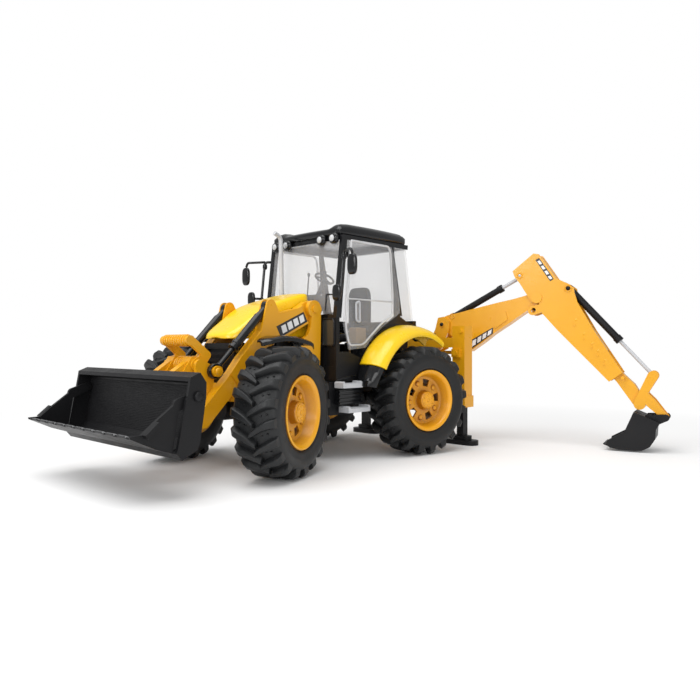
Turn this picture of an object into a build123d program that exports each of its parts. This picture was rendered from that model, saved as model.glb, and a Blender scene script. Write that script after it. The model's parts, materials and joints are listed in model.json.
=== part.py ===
from build123d import *
import math
import os

# Toy backhoe loader. All lengths in mm: X runs forward, Y to the machine's left, Z up from the ground.

# Where the rest pose's bounding box has its middle, so that the row's origin lies under it
CENTRE_X = 51.0
CENTRE_Y = 66.5

# Wheels and axles
TYRE_R = 47.5
RIM_R = 24.0
FLANGE_R = 26.6
FRONT_AXLE_X = 152.6
REAR_AXLE_X = -3.6
STEER_PIVOT_Y = 63.0
FRONT_STEER = 20.9
REAR_STEER = -10.5
STUB_R = 2.5
PIN_FIT = 0.05

# Loader linkage: arm hinge, lever pivot, cross shaft, ram eye, bucket pivot, link pin, ram foot
ARM_HINGE = (91, 125)
LEVER_PIVOT = (190, 53)
CROSS_SHAFT = (193, 81)
RAM_EYE = (184.5, 76.5)
BUCKET_PIVOT = (208, 43)
LINK_PIN = (211, 71)
RAM_FOOT = (137, 125.5)
ARM_Y = 26.75
PIVOT_R = 3.0

# Cab and hood
CAB_HALF = 46.0
HOOD_HALF = 21.7
WALL = 2.0
GLASS = 1.2

# Backhoe, in its own swung plane: distance from the swing axis, then height
SWING_X = -100.0
SWING = 75.0
BOOM_FOOT = (22.4, 117)
ELBOW = (118.4, 141.4)
DIPPER_RAM_FOOT = (32, 125.5)
DIPPER_RAM_EYE = (102.2, 163.4)
HOE_RAM_FOOT = (147.7, 149.1)
HOE_RAM_EYE = (220.4, 68.2)
HOE_PIVOT = (209.6, 42.5)
BOOM_HALF = 7.0
DIPPER_IN = 7.4
DIPPER_OUT = 9.4

# Clearance between pieces that slide or turn near each other
GAP = 0.4


def point(x, y, z):
    return Vector(x - CENTRE_X, y - CENTRE_Y, z)


def side(y):
    """Upright plane along the machine at a distance y to its left: sketches use X and Z."""
    return Plane(origin=point(0, y, 0), x_dir=(1, 0, 0), z_dir=(0, -1, 0))


def level(z):
    """Horizontal plane at height z: sketches use X and Y."""
    return Plane(origin=point(0, 0, z), x_dir=(1, 0, 0), z_dir=(0, 0, 1))


def across(x):
    """Upright plane across the machine: sketches use Y and Z."""
    return Plane(origin=point(x, 0, 0), x_dir=(0, 1, 0), z_dir=(1, 0, 0))


HOE_DIR = Vector(-math.cos(math.radians(SWING)), math.sin(math.radians(SWING)), 0)
HOE_NORMAL = HOE_DIR.cross(Vector(0, 0, 1))


def hoe(w):
    """Upright plane of the swung backhoe, w to the side: sketches use distance from the axis and Z."""
    return Plane(origin=point(SWING_X, 0, 0) + HOE_NORMAL * w, x_dir=HOE_DIR, z_dir=HOE_NORMAL)


def hoe_point(s, z, w=0.0):
    return point(SWING_X, 0, z) + HOE_DIR * s + HOE_NORMAL * w


def reach(at, low, high):
    """Signed length of an extrusion from at(low) to at(high)."""
    return (at(high).origin - at(low).origin).dot(at(low).z_dir)


def plate(at, outline, low, high, mode=Mode.ADD, corner=0.0):
    """Flat plate between two parallel planes, with every outline corner rounded if asked."""
    with BuildSketch(at(low)) as face:
        with BuildLine():
            Polyline(*outline, close=True)
        make_face()
        if corner > 0:
            fillet(face.vertices(), corner)
    extrude(face.sketch, amount=reach(at, low, high), mode=mode)


def disc(at, centre, radius, low, high, mode=Mode.ADD):
    with BuildSketch(at(low)) as face:
        with Locations(centre):
            Circle(radius)
    extrude(face.sketch, amount=reach(at, low, high), mode=mode)


def strap(at, ends, low, high, mode=Mode.ADD):
    """Plate with a tight outline round the circles in ends, each given as (x, z, radius)."""
    with BuildSketch(at(low)) as face:
        for x, z, radius in ends:
            with Locations((x, z)):
                Circle(radius)
        make_hull()
    extrude(face.sketch, amount=reach(at, low, high), mode=mode)


def block(x0, x1, y0, y1, z0, z1, mode=Mode.ADD):
    with Locations(point((x0 + x1) / 2, (y0 + y1) / 2, (z0 + z1) / 2)):
        Box(x1 - x0, y1 - y0, z1 - z0, mode=mode)


def bar(start, end, radius, mode=Mode.ADD):
    """Round bar between two points."""
    along = end - start
    with BuildSketch(Plane(origin=start, z_dir=along)) as face:
        Circle(radius)
    extrude(face.sketch, amount=along.length, mode=mode)


def turned(profile, plane, mode=Mode.ADD):
    """Solid turned about the plane's own x axis from an (along, radius) profile."""
    with BuildSketch(plane) as face:
        with BuildLine():
            Polyline(*profile, close=True)
        make_face()
    revolve(face.sketch, axis=Axis(plane.origin, plane.x_dir), mode=mode)


def mirrored(part):
    """The same piece on the machine's right-hand side."""
    return mirror(part, about=Plane(origin=point(0, 0, 0), z_dir=(0, 1, 0)))


def ring_point(radius, angle):
    """Point (x, z) round the rear axle, the angle measured up from straight ahead."""
    turn = math.radians(angle)
    return (REAR_AXLE_X + radius * math.cos(turn), TYRE_R + radius * math.sin(turn))


def save(part, name):
    part.label = name
    export_step(part, f"parts/{name}.step")


def save_pair(part, name):
    other = mirrored(part)
    save(part, f"{name}_left")
    save(other, f"{name}_right")


os.makedirs("parts", exist_ok=True)

# ---------------------------------------------------------------- wheels and axles


def wheel_plane(axle_x, sign, steer):
    """Plane through a steered wheel's axis: x runs outboard along the axle stub, y runs up."""
    turn = math.radians(steer)
    outboard = Vector(-sign * math.sin(turn), sign * math.cos(turn), 0)
    return Plane(
        origin=point(axle_x, sign * STEER_PIVOT_Y, TYRE_R),
        x_dir=outboard,
        z_dir=outboard.cross(Vector(0, 0, 1)),
    )


TYRE_PROFILE = [
    (-13, RIM_R), (17, RIM_R), (17, 28), (19.4, 31.5), (20, 37), (18.6, 43), (14, TYRE_R), (-9, TYRE_R),
    (-14, 44.5), (-16, 40), (-15.6, 33), (-13, 28),
]
RIM_PROFILE = [
    (-14.6, 21.6), (6.6, 21.6), (7, 7.5), (7, STUB_R + PIN_FIT), (14.4, STUB_R + PIN_FIT), (14.4, 0),
    (16.4, 0), (16.4, 5), (15, 7.5), (10.5, 8.5), (9.4, 11), (9.4, 19.5), (11, 21.6), (17.4, 22.6),
    (18.6, 24.6), (18.6, FLANGE_R), (17, FLANGE_R), (17, RIM_R), (-13, RIM_R), (-13, FLANGE_R), (-14.6, FLANGE_R),
]
RIM_HOLES = 5


def make_wheel(axle_x, sign, steer, name):
    plane = wheel_plane(axle_x, sign, steer)
    with BuildPart() as tyre:
        turned(TYRE_PROFILE, plane)
    save(tyre.part, f"{name}_tyre")

    with BuildPart() as rim:
        turned(RIM_PROFILE, plane)
        hub = Plane(origin=plane.origin + plane.x_dir * 6.5, x_dir=(0, 0, 1), z_dir=plane.x_dir)
        with BuildSketch(hub) as bosses:
            with PolarLocations(15.2, RIM_HOLES, start_angle=36):
                Circle(2.6)
        extrude(bosses.sketch, amount=5.2)
        with BuildSketch(hub) as windows:
            with PolarLocations(15.2, RIM_HOLES):
                Rectangle(5.4, 5)
        extrude(windows.sketch, amount=5.2, mode=Mode.SUBTRACT)
    save(rim.part, f"{name}_rim")

    # The knuckle grips the beam end from above and below and carries the wheel's stub
    with BuildPart() as knuckle:
        lying = Plane(origin=plane.origin + Vector(0, 0, -9.3), x_dir=plane.x_dir, z_dir=(0, 0, 1))
        with BuildSketch(lying) as jaw:
            with Locations((1.2, 0)):
                Rectangle(10.8, 9)
            with Locations((-4.2, 0)):
                Circle(4.5)
        extrude(jaw.sketch, amount=18.6)
        with BuildSketch(lying.offset(2.8)) as mouth:
            with Locations((-3.8, 0)):
                Rectangle(16, 12)
        extrude(mouth.sketch, amount=13, mode=Mode.SUBTRACT)
        with BuildSketch(lying) as pin:
            Circle(1.8)
        extrude(pin.sketch, amount=18.6)
        outward = Plane(origin=plane.origin + plane.x_dir * 5.8, z_dir=plane.x_dir)
        with BuildSketch(outward) as stub:
            Circle(STUB_R)
        extrude(stub.sketch, amount=8.2)
    save(knuckle.part, f"{name}_knuckle")


def make_axle(axle_x, name, housing):
    """Cross beam with a round eye at each end for the knuckle's upright pin."""
    with BuildPart() as axle:
        block(axle_x - 5, axle_x + 5, -59, 59, 43, 52)
        for sign in (-1, 1):
            with BuildSketch(level(41.6)) as eye:
                with Locations((axle_x, sign * STEER_PIVOT_Y)):
                    Circle(3.9)
                with Locations((axle_x, sign * (STEER_PIVOT_Y - 4))):
                    Rectangle(7.8, 8)
            extrude(eye.sketch, amount=11.8)
            with BuildSketch(level(41.6)) as hole:
                with Locations((axle_x, sign * STEER_PIVOT_Y)):
                    Circle(1.8 + PIN_FIT)
            extrude(hole.sketch, amount=11.8, mode=Mode.SUBTRACT)
        with BuildSketch(across(axle_x - 9)) as case:
            with Locations((0, 46)):
                Circle(housing)
        extrude(case.sketch, amount=18)
        block(axle_x - 10, axle_x + 10, -20, 20, 52.5, 60, mode=Mode.SUBTRACT)
    save(axle.part, name)


for wheel_sign, wheel_side in ((1, "left"), (-1, "right")):
    make_wheel(FRONT_AXLE_X, wheel_sign, FRONT_STEER, f"front_{wheel_side}")
    make_wheel(REAR_AXLE_X, wheel_sign, REAR_STEER, f"rear_{wheel_side}")
make_axle(FRONT_AXLE_X, "front_axle", 9)
make_axle(REAR_AXLE_X, "rear_axle", 9)

# ---------------------------------------------------------------- chassis, engine, nose

with BuildPart() as chassis_frame:
    block(-74, 128, -15, 15, 52.5, 66)
    block(20, 128, -13, 13, 44, 52.5)
    for sign in (-1, 1):
        block(57, 85.6, min(sign * 15, sign * 43.5), max(sign * 15, sign * 43.5), 38, 65.5)
        for rib_x in (60, 66, 72, 78):
            block(rib_x, rib_x + 2, min(sign * 43.5, sign * 44.7), max(sign * 43.5, sign * 44.7), 47, 58)
save(chassis_frame.part, "chassis_frame")

with BuildPart() as front_frame:
    block(128, 162, -19, 19, 52.5, 66)
    block(128, 143, -19, 19, 43, 52.5)
    plate(side, [(162, 52.5), (164, 54), (166, 60.5), (162, 66)], -15, 15)
save(front_frame.part, "front_frame")

with BuildPart() as engine_block:
    block(95, 148, -15, 15, 66, 88)
    for rib_x in (100, 110, 120, 130, 140):
        block(rib_x, rib_x + 5, -13, 13, 88, 95)
save(engine_block.part, "engine_block")

with BuildPart() as radiator_grille:
    plate(side, [(150, 66), (161, 66), (162.5, 97), (150, 97)], -19, 19)
    for bar_z in (70, 75, 80, 85, 90):
        block(160, 164, -16, 16, bar_z, bar_z + 2.5, mode=Mode.SUBTRACT)
save(radiator_grille.part, "radiator_grille")

with BuildPart() as hood:
    plate(
        side,
        [(85.8, 101), (165, 100.2), (163, 104), (147, 116), (134, 126.4), (106, 135), (85.8, 140)],
        -HOOD_HALF, HOOD_HALF,
    )
    upper = hood.faces().filter_by(Axis.Y).edges().filter_by(lambda e: e.center().Z > 103)
    sloping = [e for e in upper if abs(e.tangent_at(0.5).X) > 0.3]
    fillet(sloping, 4)
    plate(
        side,
        [(84, 99), (161.4, 99), (159.4, 104), (146, 113.6), (133, 124.2), (105.6, 132.6), (84, 138)],
        2 - HOOD_HALF, HOOD_HALF - 2,
        mode=Mode.SUBTRACT,
    )
    for slot in range(5):
        slot_x = 92 + 4.2 * slot
        for sign in (-1, 1):
            block(
                slot_x, slot_x + 2, min(sign * 15, sign * 30), max(sign * 15, sign * 30),
                125.5 - slot, 131.5 - slot, mode=Mode.SUBTRACT,
            )
save(hood.part, "hood")

with BuildPart() as exhaust_pipe:
    block(80, 83.4, -22, -18, 118, 124)
    bar(point(81.6, -20, 123), point(83.4, -20, 186), 1.9)
    bar(point(83.4, -20, 186), point(89, -20, 193.5), 1.9)
    with Locations(point(83.4, -20, 186)):
        Sphere(1.9)
save(exhaust_pipe.part, "exhaust_pipe")

# ---------------------------------------------------------------- loader towers

with BuildPart() as tower:
    block(86, 112, 17, 28.4, 60, 94)
    block(86, 112, 15, 17, 60, 65.5)
    plate(
        side,
        [(86, 60), (112, 60), (112, 95), (106, 99), (98, 104), (95.5, 110), (93.5, 125), (84, 125), (84.5, 98)],
        28.4, 32.4,
    )
    disc(side, ARM_HINGE, 7.2, 28.4, 32.4)
    disc(side, ARM_HINGE, PIVOT_R, 22.9, 33.6)
    disc(side, (87, 125), 3.6, 28.4, 32.4)
save_pair(tower.part, "loader_tower")

# ---------------------------------------------------------------- loader arms

with BuildPart() as arm:
    plate(
        side,
        [
            (97, 113), (126, 100), (143.5, 90.8), (155, 76.5), (166, 65), (194, 36.6), (208, 36), (214, 40),
            (213, 48), (197, 50.2), (174, 74), (165, 85.3), (144.5, 107), (131, 120), (107, 125.2), (97, 131),
        ],
        22.5, 31,
    )
    disc(side, ARM_HINGE, 12, 28, 31, mode=Mode.SUBTRACT)
    strap(side, [(ARM_HINGE[0], ARM_HINGE[1], 7), (98, 122, 7)], 22.5, 28)
    disc(side, BUCKET_PIVOT, 7, 22.5, 31)
    # Upright fork that holds the foot of the tilt ram
    strap(side, [(135.5, 126.5, 4.4), (128, 113, 4), (141, 106, 4)], 22.5, 31)
    block(126, 144, 24.1, 29.4, 113, 134, mode=Mode.SUBTRACT)
    disc(side, RAM_FOOT, 1.5, 22.5, 31)
    disc(side, ARM_HINGE, PIVOT_R + PIN_FIT, 20, 33, mode=Mode.SUBTRACT)
    disc(side, BUCKET_PIVOT, 2.5 + PIN_FIT, 20, 33, mode=Mode.SUBTRACT)
    disc(side, LEVER_PIVOT, 2 + PIN_FIT, 20, 33, mode=Mode.SUBTRACT)
    disc(side, (176, 61.5), 3.5, 22.5, 24.5, mode=Mode.SUBTRACT)
    # Parting groove between the two mouldings of the arm
    plate(side, [(165.6, 64.6), (166.6, 63.8), (175, 74.2), (174, 75)], 30.4, 31, mode=Mode.SUBTRACT)
save_pair(arm.part, "loader_arm")

with BuildPart() as loader_cross_tube:
    disc(side, (176, 61.5), 3.5, -24.5, 24.5)
save(loader_cross_tube.part, "loader_cross_tube")

# ---------------------------------------------------------------- tilt linkage

RAM_LINE = (RAM_EYE[0] - RAM_FOOT[0], RAM_EYE[1] - RAM_FOOT[1])
RAM_LENGTH = math.hypot(*RAM_LINE)


def along_ram(distance, y):
    share = distance / RAM_LENGTH
    return point(RAM_FOOT[0] + RAM_LINE[0] * share, y, RAM_FOOT[1] + RAM_LINE[1] * share)


with BuildPart() as tilt_ram_barrels:
    for sign in (-1, 1):
        middle = sign * ARM_Y
        bar(along_ram(13.5, middle), along_ram(41, middle), 4)
        bar(along_ram(41, middle), along_ram(45, middle), 4.6)
        bar(along_ram(1, middle), along_ram(13.5, middle), 2)
        disc(side, RAM_FOOT, 4.2, middle - 2.3, middle + 2.3)
        disc(side, RAM_FOOT, 1.5 + PIN_FIT, middle - 5, middle + 5, mode=Mode.SUBTRACT)
        bar(along_ram(16, middle), along_ram(46, middle), 2.2 + GAP, mode=Mode.SUBTRACT)
save(tilt_ram_barrels.part, "tilt_ram_barrels")

with BuildPart() as tilt_ram_rods:
    for sign in (-1, 1):
        middle = sign * ARM_Y
        bar(along_ram(19, middle), along_ram(RAM_LENGTH - 4.6, middle), 2.2)
        disc(side, RAM_EYE, 6, middle - 2, middle + 2)
        disc(side, RAM_EYE, 4.3, middle - 3, middle + 3, mode=Mode.SUBTRACT)
save(tilt_ram_rods.part, "tilt_ram_rods")

with BuildPart() as tilt_lever:
    for sign in (-1, 1):
        inner, outer = sorted((sign * 18.6, sign * 22))
        strap(
            side,
            [LEVER_PIVOT + (4.5,), CROSS_SHAFT + (4.2,), RAM_EYE + (4,)],
            inner, outer,
        )
        inner, outer = sorted((sign * 21, sign * 31.2))
        disc(side, LEVER_PIVOT, 2, inner, outer)
        disc(side, RAM_EYE, 1.3, inner, outer)
        inner, outer = sorted((sign * 29.2, sign * 31.2))
        disc(side, RAM_EYE, 4, inner, outer)
    disc(side, CROSS_SHAFT, PIVOT_R, -22, 22)
save(tilt_lever.part, "tilt_lever")

with BuildPart() as tilt_link:
    for sign in (-1, 1):
        inner, outer = sorted((sign * 6.5, sign * 16))
        plate(
            side,
            [
                (188, 74), (190, 72), (203, 72), (204, 76), (197, 87), (190, 87.5), (188, 85),
            ],
            inner, outer,
        )
        inner, outer = sorted((sign * 8, sign * 14.5))
        strap(side, [CROSS_SHAFT + (6,), LINK_PIN + (4.4,)], inner, outer)
        # Grip arms: up and back from the shaft, then forward to the grip
        inner, outer = sorted((sign * 15.4, sign * 18.2))
        strap(side, [CROSS_SHAFT + (5,), (185, 88, 3)], inner, outer)
        strap(side, [(185, 88, 3), (198, 98.6, 3)], inner, outer)
    disc(side, CROSS_SHAFT, 5.6, -15.4, 15.4)
    disc(side, (199, 98.8), 3.6, -18.2, 18.2)
    disc(side, CROSS_SHAFT, PIVOT_R + PIN_FIT, -20, 20, mode=Mode.SUBTRACT)
    disc(side, LINK_PIN, 1.8 + 0.3, -20, 20, mode=Mode.SUBTRACT)
save(tilt_link.part, "tilt_link")

# ---------------------------------------------------------------- loader bucket

BUCKET_HALF = 78.8
STRIP = [
    (230.8, 78.3), (226.3, 72), (226.6, 63), (231, 35), (233, 30.5), (243.8, 25.4), (247.2, 29.5),
    (240.8, 61.9), (239.9, 63), (238, 73),
]

with BuildPart() as bucket_back:
    # Curved back wall with its top flange and heel blade
    plate(
        side,
        [
            (230.8, 78.3), (226.3, 72), (226.6, 63), (231, 35), (233, 30.5), (243.8, 25.4), (247.2, 29.5),
            (235.6, 33.4), (233.2, 36.5), (229, 63), (228.8, 71), (231.4, 74.6), (238, 73), (237.6, 75.6),
        ],
        -BUCKET_HALF, BUCKET_HALF,
    )
    for sign in (-1, 1):
        inner, outer = sorted((sign * 76.4, sign * BUCKET_HALF))
        plate(side, STRIP, inner, outer)
        disc(side, (232.5, 63.5), 1.6, min(sign * 73, sign * 79.9), max(sign * 73, sign * 79.9))
        disc(side, (232.5, 63.5), 3.2, min(sign * 78.8, sign * 80.2), max(sign * 78.8, sign * 80.2))
        # Brackets either side of the arm tip, with the pivot pin between them
        for low, high in ((18.8, 22), (31.5, 34.5)):
            inner, outer = sorted((sign * low, sign * high))
            plate(side, [(228, 62), (231.4, 40), (208, 38.5), (204, 43), (208, 47.5)], inner, outer)
            disc(side, BUCKET_PIVOT, 4.6, inner, outer)
        inner, outer = sorted((sign * 19, sign * 34.3))
        disc(side, BUCKET_PIVOT, 2.5, inner, outer)
    # Lugs for the tilt link's pin
    for low, high in ((-17.6, -15), (-7.6, 7.6), (15, 17.6)):
        plate(side, [(227.6, 75), (228.4, 60), (210, 67.6), (209.6, 74.6)], low, high)
        disc(side, LINK_PIN, 3.6, low, high)
    disc(side, LINK_PIN, 1.8, -17.4, 17.4)
save(bucket_back.part, "bucket_back")

with BuildPart() as bucket_clam:
    plate(
        side,
        [(248.6, 29.8), (259.6, 33.6), (276, 41.3), (276.2, 42.6), (258.6, 35.6), (247.9, 31.9)],
        -75.4, 75.4,
    )
    for sign in (-1, 1):
        inner, outer = sorted((sign * 73.3, sign * 76))
        plate(
            side,
            [
                (243.2, 62.2), (248.6, 29.8), (276, 41.3), (276.2, 42.6), (268.6, 42.8),
                (259.7, 50),
            ],
            inner, outer,
        )
        strap(side, [(232.5, 63.5, 3.1), (244, 59, 3.6)], inner, outer)
        disc(side, (232.5, 63.5), 1.6 + PIN_FIT, inner - 1, outer + 1, mode=Mode.SUBTRACT)
        # Flared side cutter
        cutter = sorted((sign * 75.4, sign * 80.4))
        plate(side, [(259.2, 47), (260, 50.2), (268.4, 43), (266.6, 40.6)], cutter[0], cutter[1])
    with BuildSketch(level(25)) as lip:
        for scallop in range(-5, 6):
            with Locations((277.6, scallop * 14.4)):
                Circle(3.2)
    extrude(lip.sketch, amount=30, mode=Mode.SUBTRACT)
save(bucket_clam.part, "bucket_clam")

# ---------------------------------------------------------------- cab

PILLAR_FRONT = [(80, 91), (80.4, 112), (72, 184), (66, 184), (74.4, 112), (74.4, 91)]

with BuildPart() as cab_body:
    # Floor and rear bulkhead between the rear wheels
    block(-25, 80, -36, 36, 66, 72)
    block(-25, -20, -36, 36, 72, 114)
    block(46, 80, -CAB_HALF, CAB_HALF, 66, 72)
    for sign in (-1, 1):
        inner, outer = sorted((sign * 22.6, sign * CAB_HALF))
        # Panel beside the hood with a sunk rectangle
        block(76, 80, inner, outer, 72, 118)
        block(79, 81, sign * 38 - 5, sign * 38 + 5, 78, 108, mode=Mode.SUBTRACT)
        inner, outer = sorted((sign * 36, sign * 34))
        block(-20, 50, inner, outer, 72, 97)
        inner, outer = sorted((sign * 44, sign * CAB_HALF))
        plate(side, [(48, 66), (76, 66), (76, 90), (66, 90), (48, 84)], inner, outer)
    block(76, 80, -22.6, 22.6, 72, 99)
    # Pedestal that the seat turns on
    block(2, 30, -16, 16, 72, 82)
    disc(level, (16, 0), 5, 82, 98)
save(cab_body.part, "cab_body")

with BuildPart() as cab_frame:
    for sign in (-1, 1):
        inner, outer = sorted((sign * 42, sign * CAB_HALF))
        plate(side, [(80, 118), (74, 118), (66.4, 187), (71.4, 187)], inner, outer)
        plate(side, [(-12.6, 183), (70, 183), (69.6, 187), (-13, 187)], inner, outer)
        inner, outer = sorted((sign * 36, sign * CAB_HALF))
        block(-25, -20, inner, outer, 110, 114)
    plate(side, [(80, 118), (74.2, 118), (73.9, 121), (79.7, 121)], -42, 42)
    plate(side, [(71.8, 183), (66.8, 183), (66.4, 187), (71.4, 187)], -42, 42)
    plate(side, [(-24.4, 118), (-25, 114), (-20, 114), (-19.4, 118)], -42, 42)
    plate(side, [(-13.6, 183), (-13, 187), (-8, 187), (-8.6, 183)], -42, 42)
    # Narrow pillar behind each doorway, and the sill that follows the fender
    for sign in (-1, 1):
        inner, outer = sorted((sign * 43.9, sign * CAB_HALF))
        plate(side, [(11.2, 184), (8, 184), (-4.8, 122), (-0.8, 122)], inner, outer)
        plate(
            side,
            [
                ring_point(64.6, 112), ring_point(64.6, 100), ring_point(64.6, 88), ring_point(64.6, 76),
                ring_point(64.6, 64), ring_point(68, 62), ring_point(69.6, 72), ring_point(76, 86),
                ring_point(70, 96), ring_point(70, 108),
            ],
            inner, outer,
        )
        inner, outer = sorted((sign * 42, sign * CAB_HALF))
        block(-25, -20, inner, outer, 110, 118)
save(cab_frame.part, "cab_frame")

with BuildPart() as cab_windows:
    plate(side, [(78.4, 121.3), (77.2, 121.3), (70, 182.7), (71.2, 182.7)], -41.7, 41.7)
    plate(side, [(-23.4, 118.3), (-22.2, 118.3), (-11.6, 182.7), (-12.8, 182.7)], -41.7, 41.7)
    for sign in (-1, 1):
        inner, outer = sorted((sign * 42.6, sign * 43.8))
        plate(side, [(-23.2, 118.3), (-6.4, 118.3), (8.4, 182.7), (-12.6, 182.7)], inner, outer)
save(cab_windows.part, "cab_windows")

with BuildPart() as cab_roof:
    plate(
        side,
        [(-16, 187), (71, 187), (75, 189), (74, 194), (66, 197), (20, 198), (-8, 196), (-16, 192)],
        -CAB_HALF, CAB_HALF,
    )
    lengthwise = [e for e in cab_roof.edges() if e.center().Z > 192 and abs(e.tangent_at(0.5).X) > 0.9]
    fillet(lengthwise, 2.5)
    for lamp_y in (-30, -17, 17, 30):
        with BuildSketch(across(70)) as socket:
            with Locations((lamp_y, 191.2)):
                Circle(4.2)
        extrude(socket.sketch, amount=8, mode=Mode.SUBTRACT)
save(cab_roof.part, "cab_roof")

with BuildPart() as roof_lights:
    for lamp_y in (-30, -17, 17, 30):
        with BuildSketch(across(70)) as lamp:
            with Locations((lamp_y, 191.2)):
                Circle(3.9)
        extrude(lamp.sketch, amount=5.4)
save(roof_lights.part, "roof_lights")

with BuildPart() as dashboard:
    plate(
        side,
        [
            (75.8, 72), (75.8, 112), (73.4, 115), (73.4, 122), (72.6, 139), (62, 138), (58, 132),
            (68, 122), (68, 72),
        ],
        -14, 14,
    )
    bar(point(60.4, 0, 134), point(50.4, 0, 152.6), 1.8)
save(dashboard.part, "dashboard")

WHEEL_AXIS = Vector(-10, 0, 18.6).normalized()
WHEEL_CENTRE = point(49.4, 0, 154.4)

with BuildPart() as steering_wheel:
    rim_plane = Plane(origin=WHEEL_CENTRE, z_dir=WHEEL_AXIS)
    with BuildSketch(rim_plane) as ring:
        Circle(9.4)
        Circle(7.6, mode=Mode.SUBTRACT)
    extrude(ring.sketch, amount=2)
    with BuildSketch(rim_plane) as spokes:
        with PolarLocations(0, 3):
            with Locations((4, 0)):
                Rectangle(7.8, 1.8)
        Circle(3)
    extrude(spokes.sketch, amount=1.6)
save(steering_wheel.part, "steering_wheel")

with BuildPart() as driver_seat:
    plate(
        side,
        [
            (2, 98.5), (32, 98.5), (32, 105), (12, 106), (5, 150), (-1, 150), (0, 104),
        ],
        -13, 13, corner=1.6,
    )
    for sign in (-1, 1):
        inner, outer = sorted((sign * 13, sign * 16))
        plate(side, [(6, 112), (26, 114), (26, 118), (5, 117)], inner, outer)
save(driver_seat.part, "driver_seat")

DOOR = [
    (60.3, 182.4), (12.6, 182.4), (9.6, 175.8), (1.6, 135.5), (0.6, 124.5), (7.4, 120.6), (21.9, 113.4),
    (36.2, 103.4), (46.5, 93.4), (66, 91.6), (72.4, 112), (71.4, 132), (68, 160), (65, 182.4),
]

with BuildPart() as door:
    # Clear pane with a raised border, a rail across it and a grab handle on the outside
    plate(side, DOOR, 46.5, 47.5)
    plate(side, DOOR, 47.5, 48)
    plate(
        side,
        [
            (60.5, 179.6), (14.6, 179.6), (12.3, 175), (4.4, 135.5), (3.8, 126.4), (9, 123.2), (23.6, 116),
            (38.2, 105.6), (48, 96), (64, 94.6), (69.4, 112), (68.4, 132), (65.2, 160), (62.6, 179.6),
        ],
        47.5, 48, mode=Mode.SUBTRACT,
    )
    plate(side, [(4, 130.8), (69, 130.8), (69, 133.2), (4, 133.2)], 47.5, 48)
    for clip_z in (136, 176):
        disc(side, (4.6 + (clip_z - 136) * 0.2, clip_z), 2, 46.9, 48.6)
    strap(side, [(58, 118, 1.6), (58, 129, 1.6)], 49.2, 50.6)
    for end_z in (117.4, 129.4):
        disc(side, (58, end_z), 1.2, 47.4, 49.4)
save_pair(door.part, "door")

with BuildPart() as cab_steps:
    for sign in (-1, 1):
        inner, outer = sorted((sign * 44.7, sign * 55))
        block(57, 85, inner, outer, 59, 64)
        block(53.5, 79, inner, outer, 38, 46)
        block(56, 77, min(sign * 46, sign * 53.6), max(sign * 46, sign * 53.6), 44, 46, mode=Mode.SUBTRACT)
        inner, outer = sorted((sign * 44.7, sign * 46.4))
        block(62, 76, inner, outer, 46, 59)
save(cab_steps.part, "cab_steps")

with BuildPart() as mirrors:
    # An upright tube beside each front pillar carries a low mirror and, on an arm, a high one
    for sign in (-1, 1):
        bar(point(80, sign * 51, 139), point(76, sign * 51, 177), 1.2)
        block(73.4, 76.6, min(sign * 46, sign * 48.4), max(sign * 46, sign * 48.4), 138.4, 141.6)
        bar(point(75, sign * 47.6, 140), point(80, sign * 51, 140), 1.2)
        block(69, 72.2, min(sign * 46, sign * 48.4), max(sign * 46, sign * 48.4), 174.4, 177.6)
        bar(point(70.6, sign * 47.6, 176), point(76, sign * 51, 176), 1.2)
        bar(point(76, sign * 51, 176), point(84, sign * 67, 172.4), 1.2)
        inner, outer = sorted((sign * 63, sign * 73.8))
        plate(across, [(inner, 155), (outer, 155), (outer, 173.6), (inner, 173.6)], 82.6, 86, corner=3)
        bar(point(80, sign * 51, 141), point(88, sign * 55, 142), 1.2)
        inner, outer = sorted((sign * 50, sign * 60.4))
        plate(
            across,
            [
                (inner, 134.5), (outer, 134.5), (outer, 148.6), (inner, 148.6),
            ],
            87, 90.4, corner=2.8,
        )
save(mirrors.part, "mirrors")

# ---------------------------------------------------------------- mudguards and fenders

FENDER_START = 30
FENDER_END = 132


with BuildPart() as fender:
    # Arch over the rear tyre, turned about the axle from its section
    section_plane = Plane(
        origin=point(REAR_AXLE_X, 0, TYRE_R),
        x_dir=(0, 1, 0),
        z_dir=Vector(0, 1, 0).cross(
            Vector(math.cos(math.radians(FENDER_START)), 0, math.sin(math.radians(FENDER_START)))
        ),
    )
    with BuildSketch(section_plane) as section:
        with BuildLine():
            Polyline(
                (46.5, 56), (46.5, 65), (50, 66.4), (64, 64.6), (69.4, 61), (70.4, 56.4), (68.6, 55.2),
                (67.4, 59.4), (62.6, 62.4), (49, 63.6), (48.4, 56), close=True,
            )
        make_face()
    revolve(
        section.sketch, axis=Axis(point(REAR_AXLE_X, 0, TYRE_R), (0, -1, 0)),
        revolution_arc=FENDER_END - FENDER_START,
    )
save_pair(fender.part, "rear_fender")

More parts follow.
